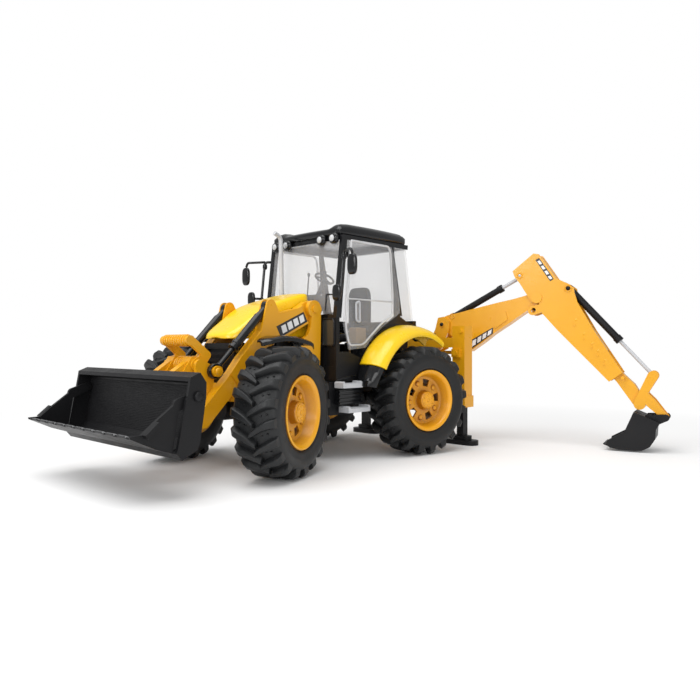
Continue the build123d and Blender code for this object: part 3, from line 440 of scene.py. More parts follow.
def plate_mesh(outline, low, high, to_point):
    """Closed plate from an outline, between two depths."""
    count = len(outline)
    vertices = [to_point(a, b, low) for a, b in outline] + [to_point(a, b, high) for a, b in outline]
    faces = [tuple(range(count)), tuple(range(2 * count - 1, count - 1, -1))]
    faces += [(k, (k + 1) % count, count + (k + 1) % count, count + k) for k in range(count)]
    return vertices, faces


def join_meshes(parts):
    vertices, faces = [], []
    for part_vertices, part_faces in parts:
        base = len(vertices)
        vertices.extend(part_vertices)
        faces.extend(tuple(base + index for index in face) for face in part_faces)
    return vertices, faces


def tube_mesh(path, radius, sides=10, closed=False):
    """Round tube along a list of points."""
    rings = []
    count = len(path)
    normal = None
    for k in range(count):
        if closed:
            ahead = path[(k + 1) % count] - path[k - 1]
        else:
            ahead = path[min(k + 1, count - 1)] - path[max(k - 1, 0)]
        ahead.normalize()
        if normal is None:
            normal = ahead.orthogonal().normalized()
        normal = (normal - ahead * normal.dot(ahead)).normalized()
        other = ahead.cross(normal)
        rings.append([
            path[k] + (normal * math.cos(a) + other * math.sin(a)) * radius * MM
            for a in (2 * math.pi * i / sides for i in range(sides))
        ])
    vertices = [point for ring in rings for point in ring]
    faces = []
    for k in range(count if closed else count - 1):
        here, there = k * sides, (k + 1) % count * sides
        for i in range(sides):
            j = (i + 1) % sides
            faces.append((here + i, here + j, there + j, there + i))
    if not closed:
        faces.append(tuple(range(sides)))
        faces.append(tuple(range(len(vertices) - 1, len(vertices) - sides - 1, -1)))
    return vertices, faces


def rounded_path(corners, radius, steps=5, closed=False):
    """Points along a path with its corners rounded; corners are points in metres, radius in mm."""
    points = []
    count = len(corners)
    for k in range(count):
        if not closed and k in (0, count - 1):
            points.append(corners[k])
            continue
        before, here, after = corners[k - 1], corners[k], corners[(k + 1) % count]
        into, out = before - here, after - here
        cut = min(radius * MM, into.length * 0.45, out.length * 0.45)
        start = here + into.normalized() * cut
        end = here + out.normalized() * cut
        for step in range(steps + 1):
            t = step / steps
            points.append(start * (1 - t) ** 2 + here * (2 * t * (1 - t)) + end * t ** 2)
    return points


def dome_mesh(middle, axis, radius, height, rings=6, sides=28, flat=0.0):
    """Low dome that stands on its flat base."""
    axis = axis.normalized()
    u = axis.orthogonal().normalized()
    v = axis.cross(u)
    vertices, faces = [], []
    for ring in range(rings):
        t = ring / rings
        r = radius * math.cos(t * math.pi / 2) ** (1 - flat)
        h = height * math.sin(t * math.pi / 2)
        for k in range(sides):
            a = 2 * math.pi * k / sides
            vertices.append(middle + (u * math.cos(a) * r + v * math.sin(a) * r + axis * h) * MM)
    vertices.append(middle + axis * height * MM)
    for ring in range(rings - 1):
        for k in range(sides):
            j = (k + 1) % sides
            faces.append((ring * sides + k, ring * sides + j, (ring + 1) * sides + j, (ring + 1) * sides + k))
    top = len(vertices) - 1
    for k in range(sides):
        faces.append(((rings - 1) * sides + k, (rings - 1) * sides + (k + 1) % sides, top))
    faces.append(tuple(reversed(range(sides))))
    return vertices, faces


def superbox(middle, axes, halves, power=4.0, rings=14, sides=28):
    """Rounded block: a superellipsoid round a middle point, along three unit directions."""
    u, v, w = axes
    a, b, c = halves

    def signed(value):
        return math.copysign(abs(value) ** (2 / power), value)

    vertices, faces = [], []
    for ring in range(1, rings):
        tilt = -math.pi / 2 + math.pi * ring / rings
        for k in range(sides):
            turn = 2 * math.pi * k / sides
            vertices.append(middle + (
                u * a * signed(math.cos(tilt)) * signed(math.cos(turn))
                + v * b * signed(math.cos(tilt)) * signed(math.sin(turn))
                + w * c * signed(math.sin(tilt))
            ) * MM)
    for ring in range(rings - 2):
        for k in range(sides):
            j = (k + 1) % sides
            here, there = ring * sides, (ring + 1) * sides
            faces.append((here + k, here + j, there + j, there + k))
    vertices.append(middle - w * c * MM)
    vertices.append(middle + w * c * MM)
    bottom, top = len(vertices) - 2, len(vertices) - 1
    last = (rings - 2) * sides
    for k in range(sides):
        j = (k + 1) % sides
        faces.append((bottom, j, k))
        faces.append((last + k, last + j, top))
    return vertices, faces


X_AXIS = Vector((1, 0, 0))
Y_AXIS = Vector((0, 1, 0))
Z_AXIS = Vector((0, 0, 1))
LEVEL_AXES = (X_AXIS, Y_AXIS, Z_AXIS)


def box_mesh(x0, x1, y0, y1, z0, z1):
    return plate_mesh([(x0, z0), (x1, z0), (x1, z1), (x0, z1)], y0, y1, side_point)


# ---------------------------------------------------------------- wheels in place

for wheel_sign, wheel_side in ((1, "left"), (-1, "right")):
    for axle_x, steer, axle_name in ((FRONT_AXLE_X, 20.9, "front"), (REAR_AXLE_X, -10.5, "rear")):
        make_tyre(axle_x, wheel_sign, steer, f"{axle_name}_{wheel_side}")
        make_rim(axle_x, wheel_sign, steer, f"{axle_name}_{wheel_side}")


# ---------------------------------------------------------------- striped panels

PANEL_BLACK = plastic("panel_black_print", (0.02, 0.02, 0.022), (0.028, 0.028, 0.03), 0.3, 0.4, 0.05, 2600)
PANEL_WHITE = plastic("panel_white_print", (0.74, 0.74, 0.74), (0.82, 0.82, 0.82), 0.3, 0.4, 0.05, 2600)


def striped_panel(name, corners, depth, lift, to_point, body, stripes):
    """Printed panel: a dark ground with light slanted bars; corners run round the panel."""
    a, b, c, d = [Vector((x, z)) for x, z in corners]

    def at(u, v):
        low = a.lerp(d, u)
        high = b.lerp(c, u)
        return tuple(low.lerp(high, v))

    ground = plate_mesh([at(0, 0), at(0, 1), at(1, 1), at(1, 0)], depth, depth + lift, to_point)
    mesh_object(f"{name}_ground", *ground, PANEL_BLACK, body, "black_plastic", smooth=False)
    bars = []
    for u0, u1, v0, v1, slant in stripes:
        outline = [at(u0, v0), at(u0 + slant, v1), at(u1 + slant, v1), at(u1, v0)]
        bars.append(plate_mesh(outline, depth + lift * 0.9, depth + lift * 1.5, to_point))
    mesh_object(f"{name}_bars", *join_meshes(bars), PANEL_WHITE, body, "silver_plastic", smooth=False)


BAR_PATTERN = [
    (0.10, 0.26, 0.18, 0.82, 0.03), (0.32, 0.48, 0.18, 0.82, 0.03), (0.54, 0.70, 0.18, 0.82, 0.03),
    (0.76, 0.92, 0.18, 0.82, 0.03),
]

for sign, arm_side in ((1, "left"), (-1, "right")):
    striped_panel(
        f"loader_arm_{arm_side}_panel", [(126, 101.7), (130.6, 110), (102.4, 122.3), (98.1, 114.6)],
        sign * 31.0, sign * 0.25, side_point, "loader_arms", BAR_PATTERN,
    )
for sign, boom_side in ((1, "left"), (-1, "right")):
    striped_panel(
        f"boom_{boom_side}_panel", [(51.1, 90.7), (51.1, 100), (75.1, 113.4), (75.1, 107.4)],
        sign * 7.0, sign * 0.25, hoe_point, "boom", BAR_PATTERN,
    )

# Slanted stripes near the top of the dipper, and dark pivot recesses
for sign, dipper_side in ((1, "left"), (-1, "right")):
    striped_panel(
        f"dipper_{dipper_side}_panel", [(117.4, 177.6), (120.8, 179.4), (134.6, 158.6), (131.2, 156.6)],
        sign * 9.4, sign * 0.2, hoe_point, "dipper",
        [(k, k + 0.16, 0.2, 0.8, 0.02) for k in (0.08, 0.32, 0.56)] + [(0.8, 0.94, 0.2, 0.8, 0.02)],
    )


def hoe_disc(s, z, w0, w1, radius):
    return tube_mesh([hoe_point(s, z, w0), hoe_point(s, z, w1)], radius, 28)


def hoe_ring(s, z, w, radius, thickness):
    circle = [
        hoe_point(s + radius * math.cos(a), z + radius * math.sin(a), w)
        for a in (2 * math.pi * k / 32 for k in range(32))
    ]
    return tube_mesh(circle, thickness, 8, closed=True)


bumps = [
    dome_mesh(hoe_point(along, height, sign * 9.0), HOE_ACROSS * sign, 1.7, 0.7, 4, 18)
    for sign in (1, -1)
    for along, height in ((155.1, 119), (162.3, 106), (169.6, 97.2), (174.6, 90.3), (180.4, 81.8))
]
mesh_object("dipper_moulding_bumps", *join_meshes(bumps), YELLOW, "dipper", "yellow_plastic")
hook = tube_mesh(rounded_path([
    hoe_point(along, height, 0)
    for along, height in ((111.6, 135.5), (113.4, 130.6), (118.6, 129.8), (121, 134.5))
], 1.8), 1.2, 10)
mesh_object("boom_tip_hook", *hook, BLACK, "boom", "black_plastic")

dark_pins, dipper_rings, boom_rings = [], [], []
for sign in (1, -1):
    dark_pins.append(hoe_disc(147.7, 149.1, sign * 8.6, sign * 9.7, 2.0))
    dipper_rings.append(hoe_ring(147.7, 149.1, sign * 9.5, 3.0, 0.6))
    dipper_rings.append(hoe_ring(102.2, 163.4, sign * 9.4, 2.6, 0.5))
    boom_rings.append(hoe_ring(32, 125.5, sign * 7.1, 2.4, 0.5))
mesh_object("dipper_dark_pins", *join_meshes(dark_pins), BLACK, "dipper", "black_plastic")
mesh_object("dipper_pin_rings", *join_meshes(dipper_rings), YELLOW, "dipper", "yellow_plastic")
mesh_object("boom_pin_rings", *join_meshes(boom_rings), YELLOW, "boom", "yellow_plastic")
silver_pins = [hoe_disc(102.2, 163.4, sign * 8.6, sign * 9.8, 1.3) for sign in (1, -1)]
mesh_object("dipper_silver_pins", *join_meshes(silver_pins), SILVER, "dipper", "silver_plastic")
foot_pins = [hoe_disc(22.4, 117, sign * 11.2, sign * 11.9, 1.9) for sign in (1, -1)]
mesh_object("boom_foot_pins", *join_meshes(foot_pins), BLACK, "swing_post", "black_plastic")

# ---------------------------------------------------------------- cab trim

LAMP = plastic("lamp_lens_plastic", (0.42, 0.43, 0.44), (0.62, 0.63, 0.64), 0.12, 0.2, 0.1, 1500, coat=0.5)

DOOR_EDGE = [
    (62, 182.6), (16.4, 182.6), (13.4, 177.5), (10.6, 139), (10.6, 123), (26.3, 114.0), (41.0, 102.6),
    (49.0, 96.0), (66.2, 95.2), (70.3, 110), (69.3, 134), (66.3, 160), (63.6, 182.6),
]

strips = []
for sign in (1, -1):
    strips.append(plate_mesh(
        [(12.4, 184), (7.2, 184), (3.8, 150), (-0.2, 119.8), (5.4, 119.8), (9.4, 150)],
        sign * 44.9, sign * 46.1, side_point,
    ))
mesh_object("door_rear_strips", *join_meshes(strips), GLOSS_BLACK, "base", "gloss_black", smooth=False)

for sign, door_side in ((1, "left"), (-1, "right")):
    body = f"{door_side}_door"
    outline = rounded_path([place(x, sign * 47.6, z) for x, z in DOOR_EDGE], 4, closed=True)
    rim = tube_mesh(outline, 0.95, 8, closed=True)
    rail = tube_mesh([place(x, sign * 47.9, 134) for x in (11, 36, 69)], 0.7, 8)
    edge = mesh_object(f"{body}_border", *join_meshes([rim, rail]), FROSTED, body, "clear_plastic")
    loop = rounded_path(
        [place(x, sign * 50.1, z) for x, z in ((55.8, 114.5), (60.4, 116), (60.8, 131), (56.2, 132.5))],
        2.5, closed=True,
    )
    feet = [
        tube_mesh([place(58, sign * 47.4, z), place(58, sign * 50.0, z)], 0.8, 8) for z in (116, 131)
    ]
    handle = join_meshes([tube_mesh(loop, 0.8, 10, closed=True)] + feet)
    mesh_object(f"{body}_handle", *handle, SILVER, body, "silver_plastic")

lenses, rings, housings = [], [], []
LAMP_Z = 184.4
for lamp_y in (-37, -22, 22, 37):
    lamp_middle = place(73.6, lamp_y, LAMP_Z)
    housings.append(superbox(lamp_middle, (Y_AXIS, Z_AXIS, X_AXIS), (5.2, 4.6, 2.4), 2.4))
    housings.append(tube_mesh([place(71, lamp_y, LAMP_Z + 2), place(71, lamp_y, LAMP_Z + 6)], 1.6, 12))
    lenses.append(dome_mesh(place(75.5, lamp_y, LAMP_Z), X_AXIS, 3.1, 2.0))
    circle = [
        place(76.0, lamp_y, LAMP_Z) + (Y_AXIS * math.cos(a) + Z_AXIS * math.sin(a)) * 3.1 * MM
        for a in (2 * math.pi * k / 32 for k in range(32))
    ]
    rings.append(tube_mesh(circle, 0.55, 8, closed=True))
mesh_object("roof_lamp_lenses", *join_meshes(lenses), LAMP, "base", "clear_plastic")
mesh_object("roof_lamp_rings", *join_meshes(rings), GLOSS_BLACK, "base", "gloss_black")
lamp_housings = mesh_object("roof_lamp_housings", *join_meshes(housings), GLOSS_BLACK, "base", "gloss_black")
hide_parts("roof_lights")

wheel_up = Vector((-10, 0, 18.6)).normalized()
wheel_back = wheel_up.cross(Y_AXIS)
wheel_middle = place(49.4, 0, 154.4) + wheel_up * 1 * MM
grip = [
    wheel_middle + (Y_AXIS * math.cos(a) + wheel_back * math.sin(a)) * 8.5 * MM
    for a in (2 * math.pi * k / 48 for k in range(48))
]
spokes = [
    tube_mesh(
        [wheel_middle + (Y_AXIS * math.cos(a) + wheel_back * math.sin(a)) * r * MM for r in (1.5, 8.2)],
        0.8, 8,
    )
    for a in (math.pi / 2, math.pi * 7 / 6, math.pi * 11 / 6)
]
hub = dome_mesh(wheel_middle - wheel_up * 0.6 * MM, wheel_up, 3, 1.6)
steering = mesh_object(
    "steering_wheel_grip", *join_meshes([tube_mesh(grip, 0.95, 12, closed=True)] + spokes + [hub]),
    GREY_BLACK, "steering_wheel", "black_plastic",
)
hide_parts("steering_wheel")

# Levers beside the column, and the console box on the cab floor
levers = []
for lever_y, lean in ((-9, 6), (7, -4), (12, 5)):
    levers.append(tube_mesh([place(62, lever_y, 134), place(58 + lean * 0.3, lever_y, 158)], 0.6, 8))
    levers.append(superbox(place(58 + lean * 0.3, lever_y, 158.6), LEVEL_AXES, (1.2, 1.2, 1.8), 2.4, 8, 12))
mesh_object("control_levers", *join_meshes(levers), GREY_BLACK, "base", "black_plastic")
soften(mesh_object(
    "floor_console", *box_mesh(31, 44, 25, 35, 72.4, 111), TAN, "base", "yellow_plastic", smooth=False,
), 1.2, 3)

seat_parts = [
    superbox(place(2.6, 0, 128), (X_AXIS, Y_AXIS, Z_AXIS), (3.4, 12.8, 22.0), 5.0, 18, 32),
    superbox(place(16.4, 0, 102.2), LEVEL_AXES, (15.4, 13.0, 3.7), 5.0, 14, 32),
    superbox(place(15.5, 14.6, 115.6), LEVEL_AXES, (10.4, 1.5, 2.6), 4.0, 12, 20),
    superbox(place(15.5, -14.6, 115.6), LEVEL_AXES, (10.4, 1.5, 2.6), 4.0, 12, 20),
    tube_mesh([place(5, 14.6, 104), place(6, 14.6, 114)], 1.2, 10),
    tube_mesh([place(5, -14.6, 104), place(6, -14.6, 114)], 1.2, 10),
]
seat = mesh_object("driver_seat_pads", *join_meshes(seat_parts), SEAT, "seat", "dark_grey_plastic")
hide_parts("driver_seat")

# ---------------------------------------------------------------- body mouldings


def loft(name, sections, material, body, slot_name, smooth_levels=1):
    """Closed solid through rings of points, smoothed by subdivision."""
    vertices, faces = [], []
    add_sweep(vertices, faces, sections)
    obj = mesh_object(name, vertices, faces, material, body, slot_name)
    if smooth_levels:
        smoother = obj.modifiers.new("smooth", "SUBSURF")
        smoother.levels = smooth_levels
        smoother.render_levels = smooth_levels
    return obj


HOOD_STATIONS = [
    (165.8, 102.4, 9.0), (164.8, 104.2, 14.0), (162.6, 106.0, 17.6), (158.6, 108.6, 20.0),
    (152.0, 112.9, 21.3), (144.0, 118.9, 21.6), (136.0, 124.6, 21.6), (130.0, 127.9, 21.6),
    (120.0, 131.2, 21.6), (108.0, 134.6, 21.6),
    (98.0, 137.4, 21.6), (90.0, 139.3, 21.6), (86.2, 139.9, 21.6),
]


def hood_ring(x, top, half):
    """Outer then inner outline of the hood's shell at one station."""
    low = 100.4
    round_off = min(4.5, (top - low) * 0.8)
    crown = 0.9
    outer = [
        (-half, low), (-half, low + (top - low - round_off) * 0.55), (-half, top - round_off),
        (-half + round_off * 0.3, top - round_off * 0.3), (-half + round_off, top - crown * 0.5),
        (-half * 0.4, top), (half * 0.4, top), (half - round_off, top - crown * 0.5),
        (half - round_off * 0.3, top - round_off * 0.3), (half, top - round_off),
        (half, low + (top - low - round_off) * 0.55), (half, low),
    ]
    wall = 1.5
    inner = [
        (y * (half - wall) / half, low if z == low else max(low + 0.2, z - wall)) for y, z in reversed(outer)
    ]
    return [place(x, y, z) for y, z in outer + inner]


# The hood shell takes the lighter yellow copy: painted top light.
hood = loft("hood_shell", [hood_ring(*station) for station in HOOD_STATIONS], TOP_LIT_YELLOW, "hood", "yellow_plastic")
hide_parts("hood")
slots = []
for sign in (1, -1):
    y0, y1 = sorted((sign * 21.2, sign * 21.9))
    for k in range(4):
        x = 91 + 4.6 * k
        slots.append(plate_mesh(
            [(x, 126.4 - k), (x + 2.6, 125.8 - k), (x + 2.6, 128.4 - k), (x, 129 - k)], y0, y1,
            side_point,
        ))
mesh_object("hood_vents", *join_meshes(slots), BLACK, "hood", "black_plastic", smooth=False)


def arc_spot(radius, degrees, y):
    """Point on a circle round the rear axle, measured up from straight ahead."""
    turn = math.radians(degrees)
    return place(REAR_AXLE_X + radius * math.cos(turn), y, HUB_Z + radius * math.sin(turn))


FENDER_SECTION = [
    (46.6, 57.0), (46.6, 60.5), (46.6, 64.0), (47.6, 65.7), (50.0, 66.3), (55.0, 66.0), (60.0, 65.2),
    (64.5, 63.8), (68.0, 61.6), (69.8, 59.0), (70.3, 56.6), (69.9, 55.4), (68.9, 55.5), (68.3, 57.6),
    (66.2, 60.4), (62.8, 62.2),
    (57.0, 63.6), (51.0, 64.2), (49.0, 63.4), (48.6, 60.5), (48.6, 57.0),
]


def fender_arc(sign, start, end, steps, section):
    return [
        [arc_spot(radius, start + (end - start) * k / steps, sign * y) for y, radius in section]
        for k in range(steps + 1)
    ]


# The fender shells take the lighter yellow copy too: painted top light.
for sign, fender_side in ((1, "left"), (-1, "right")):
    fender = loft(
        f"fender_{fender_side}_shell", fender_arc(sign, 29.5, 124, 40, FENDER_SECTION), TOP_LIT_YELLOW, "base",
        "yellow_plastic", 0,
    )
    soften(fender, 0.4, 2, 50)
    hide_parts(f"rear_fender_{fender_side}")

black_parts = []
for sign in (1, -1):
    flap = []
    for k in range(9):
        angle = 29.2 - 16.5 * k / 8
        shrink = 3.5 * k / 8
        flap.append([
            arc_spot(radius, angle, sign * y) for y, radius in (
                (47.4 + shrink * 0.3, 57.5), (47.4 + shrink * 0.3, 64.2), (52, 64.9), (61, 63.6),
                (67.0 - shrink, 60.4),
                (68.6 - shrink, 56.6), (67.4 - shrink, 56.8), (65.6 - shrink, 59.4), (60.4, 61.8), (52, 63.0),
                (49.2, 62.2), (49.0, 57.5),
            )
        ])
    vertices, faces = [], []
    add_sweep(vertices, faces, flap)
    inner_strip = [
        [
            arc_spot(radius, 36 + 86 * k / 28, sign * y)
            for y, radius in ((36, 60.6), (46.3, 60.6), (46.3, 64), (36, 64))
        ]
        for k in range(29)
    ]
    add_sweep(vertices, faces, inner_strip)
    sill_strip = [
        [
            arc_spot(radius, 50 + 60 * k / 24, sign * y)
            for y, radius in ((44.6, 64.2), (47.4, 64.2), (47.4, 67.4), (44.6, 67.4))
        ]
        for k in range(25)
    ]
    add_sweep(vertices, faces, sill_strip)
    guard = []
    for k in range(25):
        t = k / 24
        x = 110.5 + 51.0 * t
        crest = 102.6 - 6.4 * ((x - 140) / 30) ** 2 * (1.0 if x < 140 else 1.15)
        out = 57.5 - 5.0 * max(0.0, abs(t - 0.5) * 2 - 0.8) / 0.2
        inner = 32.6 + 14.0 * max(0.0, (x - 132) / 30) ** 1.5
        guard.append([
            place(x, sign * y, z) for y, z in (
                (inner, crest - 1.6), (inner, crest), (50, crest), (out - 2, crest - 0.5), (out, crest - 1.8),
                (out, crest - 4.4), (out - 1.2, crest - 4.4), (out - 2.6, crest - 2.0), (49, crest - 1.6),
            )
        ])
    add_sweep(vertices, faces, guard)
    bracket = plate_mesh(
        [(103, 80), (111, 80), (119, 97.6), (110, 95)], sign * 32.5, sign * 36.8,
        side_point,
    )
    black_parts += [(vertices, faces), bracket]
guards = mesh_object("black_guards", *join_meshes(black_parts), GLOSS_BLACK, "base", "gloss_black")
soften(guards, 0.35)
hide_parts("mudguards")


def roof_spot(a, b, level):
    """Point of the roof's rounded outline; a runs rear to front and b right to left, both from -1 to 1."""
    bend = 0.13
    x = 29.5 + 45.3 * a * math.sqrt(1 - bend * b * b)
    y = 45.9 * b * math.sqrt(1 - bend * a * a)
    return x, y, level


def roof_top(a, b):
    """Height of the roof: high rails along its sides, a lower middle at the front and soft edges."""
    rail = max(0.0, min(1.0, (abs(b) - 0.62) / 0.14))
    front = max(0.0, min(1.0, (a - 0.45) / 0.3))
    height = 197.2 - 2.2 * front * (1 - rail) + 0.6 * rail
    edge = max(abs(a), abs(b))
    drop = max(0.0, (edge - 0.84) / 0.16)
    nose = max(0.0, (a - 0.7) / 0.3)
    return height - (4.6 - 2.2 * front * (1 - rail)) * drop ** 2 - 1.2 * nose


ROOF_ACROSS = 44
ROOF_ALONG = 40
vertices, faces = [], []
for i in range(ROOF_ALONG + 1):
    for j in range(ROOF_ACROSS + 1):
        a, b = -1 + 2 * i / ROOF_ALONG, -1 + 2 * j / ROOF_ACROSS
        vertices.append(place(*roof_spot(a, b, roof_top(a, b))))
row = ROOF_ACROSS + 1
for i in range(ROOF_ALONG):
    for j in range(ROOF_ACROSS):
        k = i * row + j
        faces.append((k, k + 1, k + row + 1, k + row))
border = (
    [(0, j) for j in range(ROOF_ACROSS)] + [(i, ROOF_ACROSS) for i in range(ROOF_ALONG)]
    + [(ROOF_ALONG, j) for j in range(ROOF_ACROSS, 0, -1)] + [(i, 0) for i in range(ROOF_ALONG, 0, -1)]
)
previous = [i * row + j for i, j in border]
for level, inset in ((189.4, 0.0), (187.6, 0.6), (187.1, 1.4), (187.1, 5.0)):
    ring = []
    for i, j in border:
        a, b = -1 + 2 * i / ROOF_ALONG, -1 + 2 * j / ROOF_ACROSS
        x, y, z = roof_spot(a, b, level)
        shrink = 1 - inset / 46
        ring.append(len(vertices))
        vertices.append(place(29.5 + (x - 29.5) * shrink, y * shrink, z))
    for k in range(len(ring)):
        m = (k + 1) % len(ring)
        faces.append((previous[k], previous[m], ring[m], ring[k]))
    previous = ring
faces.append(tuple(reversed(previous)))
roof = mesh_object("roof_shell", vertices, faces, GLOSS_BLACK, "base", "gloss_black")
soften(roof, 0.3, 2, 60)
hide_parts("cab_roof")

pipe_line = rounded_path(
    [place(81.6, -20, 117.6), place(82.2, -20, 150), place(83.2, -20, 190.4), place(90.4, -20, 193.6)], 7, 8,
)
exhaust_parts = [
    tube_mesh(pipe_line, 1.9, 20), tube_mesh([place(81.6, -20, 118), place(81.8, -20, 128)], 2.6, 20),
    tube_mesh([place(82.0, -20, 139), place(82.1, -20, 142)], 2.3, 20),
]
exhaust = mesh_object("exhaust_stack", *join_meshes(exhaust_parts), SILVER, "base", "silver_plastic")
soften(exhaust, 0.25)
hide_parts("exhaust_pipe")

mirror_parts = []
for sign in (1, -1):
    frame_line = rounded_path([
        place(75.2, sign * 46.6, 137), place(80, sign * 51, 137), place(76, sign * 51, 172),
        place(70.8, sign * 46.6, 172),
    ], 3)
    mirror_parts += [
        tube_mesh(frame_line, 1.2, 12),
        tube_mesh(rounded_path([
            place(76, sign * 51, 172), place(84, sign * 66.5, 172), place(84.2, sign * 68.4, 168),
        ], 2.5), 1.1, 12),
        tube_mesh([place(79.9, sign * 51, 138.0), place(87.4, sign * 55, 138.2)], 1.1, 12),
        superbox(place(84.4, sign * 68.4, 159.4), (Y_AXIS, Z_AXIS, X_AXIS), (4.9, 8.3, 1.8), 3.2, 12, 32),
        superbox(place(88.4, sign * 55.2, 137.4), (Y_AXIS, Z_AXIS, X_AXIS), (4.5, 6.6, 1.7), 3.2, 12, 32),
        superbox(place(76, sign * 51, 167.8), LEVEL_AXES, (1.9, 1.9, 2.8), 3.0, 10, 16),
    ]
mirror_set = mesh_object(
    "mirror_heads_and_tubes", *join_meshes(mirror_parts), GLOSS_BLACK, "base", "gloss_black",
)
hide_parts("mirrors")

step_parts, step_blacks = [], []
for sign in (1, -1):
    for x0, x1, z0, outer in ((58, 81, 60.4, 55.4), (50, 76, 40.2, 56.6)):
        tread = [
            (x0, z0), (x1, z0), (x1, z0 + 4.4), (x1 - 1.6, z0 + 5.6), (x1 - 2.4, z0 + 3.4),
            (x0 + 2.4, z0 + 3.4), (x0 + 1.6, z0 + 5.6), (x0, z0 + 4.4),
        ]
        step_parts.append(plate_mesh(tread, sign * 45.0, sign * outer, side_point))
        for k in range(3):
            y = 47.4 + 3.0 * k
            rib_ends = [place(x0 + 3, sign * y, z0 + 3.4), place(x1 - 3, sign * y, z0 + 3.4)]
            step_parts.append(tube_mesh(rib_ends, 0.5, 8))
    step_blacks.append(box_mesh(54, 80, sign * 44.8, sign * 49.6, 46.6, 59))
    for k in range(4):
        step_blacks.append(box_mesh(53.4, 80.6, sign * 44.9, sign * 51.0, 47.4 + 3.0 * k, 49.0 + 3.0 * k))
    step_blacks.append(tube_mesh([place(58, sign * 46, 70), place(80, sign * 46.4, 67)], 0.8, 8))
steps = mesh_object("step_treads", *join_meshes(step_parts), SILVER, "base", "silver_plastic")
soften(steps, 0.35, 2)
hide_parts("cab_steps")
soften(mesh_object("step_box_ribs", *join_meshes(step_blacks), GLOSS_BLACK, "base", "gloss_black"), 0.3, 2)

panel_parts, panel_frames = [], []
for sign in (1, -1):
    corners = [place(80.5, sign * y, z) for y, z in ((31, 95), (44, 95), (44, 116.6), (31, 117.4))]
    panel_frames.append(tube_mesh(rounded_path(corners, 2.4, closed=True), 0.7, 8, closed=True))
    panel_middle = place(80.2, sign * 37.5, 106)
    panel_parts.append(superbox(panel_middle, (Y_AXIS, Z_AXIS, X_AXIS), (6.4, 10.8, 0.5), 9.0, 8, 40))
    lower_corners = [place(77.6, sign * y, z) for y, z in ((31, 122), (43.4, 122), (43.4, 137), (32, 138))]
    panel_frames.append(tube_mesh(rounded_path(lower_corners, 2.0, closed=True), 0.6, 8, closed=True))
mesh_object("cowl_inset_frames", *join_meshes(panel_frames), GLOSS_BLACK, "base", "gloss_black")
mesh_object("cowl_inset_panels", *join_meshes(panel_parts), PANEL_GREY, "base", "gloss_black")

# ---------------------------------------------------------------- loader details

FOOT_SPOT = Vector((137, 125.5))
EYE_SPOT = Vector((184.5, 76.5))
RAM_WAY = (EYE_SPOT - FOOT_SPOT).normalized()


def ram_spot(distance, y):
    spot = FOOT_SPOT + RAM_WAY * distance
    return place(spot.x, y, spot.y)


def ram_lathe(profile, y):
    """Closed turned shape about the tilt ram's line from (distance, radius) pairs."""
    way = Vector((RAM_WAY.x, 0, RAM_WAY.y))
    other = way.cross(Y_AXIS)

    def spot(along, radius, angle):
        return ram_spot(along, y) + (Y_AXIS * math.cos(angle) + other * math.sin(angle)) * radius * MM

    vertices, faces = [], []
    add_lathe(vertices, faces, profile, spot, 28)
    return vertices, faces


def pin_disc(x, z, y0, y1, radius):
    return tube_mesh([place(x, y0, z), place(x, y1, z)], radius, 28)


barrels, rods, rod_eyes, pin_heads = [], [], [], []
for sign in (1, -1):
    y = sign * 26.75
    barrels.append(ram_lathe([
        (3.0, 0.02), (3.0, 2.4), (8.6, 2.5), (11.4, 3.3), (38.6, 3.3), (39.2, 3.9), (41.4, 3.9), (41.8, 3.4),
        (43.2, 3.4), (43.6, 4.2), (45.8, 4.2), (46.2, 3.4), (46.2, 2.15), (30.0, 2.15), (30.0, 0.02),
    ], y))
    barrels.append(pin_disc(137, 125.5, y - 2.3, y + 2.3, 3.9))
    barrels.append(superbox(ram_spot(43.4, y) + Z_AXIS * 3.6 * MM, LEVEL_AXES, (1.4, 1.2, 1.6), 3.0, 8, 14))
    rods.append(ram_lathe([
        (32.0, 0.02), (32.0, 2.0), (61.2, 2.0), (62.0, 2.6), (64.4, 2.6), (64.4, 0.02),
    ], y))
    ring_vertices, ring_faces = [], []

    def eye_spot(along, radius, angle, y=y):
        outward = X_AXIS * math.sin(angle) + Z_AXIS * math.cos(angle)
        return place(EYE_SPOT.x, y + along, EYE_SPOT.y) + outward * radius * MM

    eye_profile = [(-2.2, 4.3), (-2.2, 5.2), (-1.6, 5.8), (1.6, 5.8), (2.2, 5.2), (2.2, 4.3)]
    add_lathe(ring_vertices, ring_faces, eye_profile, eye_spot, 36)
    rod_eyes.append((ring_vertices, ring_faces))
    pin_middle = place(EYE_SPOT.x, sign * 31.2, EYE_SPOT.y)
    pin_heads.append(dome_mesh(pin_middle, Y_AXIS * sign, 2.6, 1.3, 6, 24, 0.4))
barrel_set = soften(mesh_object(
    "tilt_ram_cylinders", *join_meshes(barrels), GLOSS_BLACK, "tilt_ram_barrels", "black_plastic",
), 0.25)
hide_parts("tilt_ram_barrels")
rod_set = soften(mesh_object(
    "tilt_ram_plungers", *join_meshes(rods + rod_eyes), GLOSS_BLACK, "tilt_ram_rods", "black_plastic",
), 0.25)
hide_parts("tilt_ram_rods")
mesh_object("tilt_pin_heads", *join_meshes(pin_heads), YELLOW, "tilt_lever", "yellow_plastic")


def side_ring(x, z, y, radius, thickness):
    circle = [
        place(x, y, z) + (X_AXIS * math.cos(a) + Z_AXIS * math.sin(a)) * radius * MM
        for a in (2 * math.pi * k / 32 for k in range(32))
    ]
    return tube_mesh(circle, thickness, 8, closed=True)


ribs = [side_ring(199, 98.8, -14 + 3.1 * k, 3.7, 0.75) for k in range(10)]
ribs += [side_ring(193, 81, sign * y, 5.7, 0.8) for sign in (1, -1) for y in (1.6, 4.2)]
mesh_object("tilt_grip_ribs", *join_meshes(ribs), YELLOW, "tilt_link", "yellow_plastic")

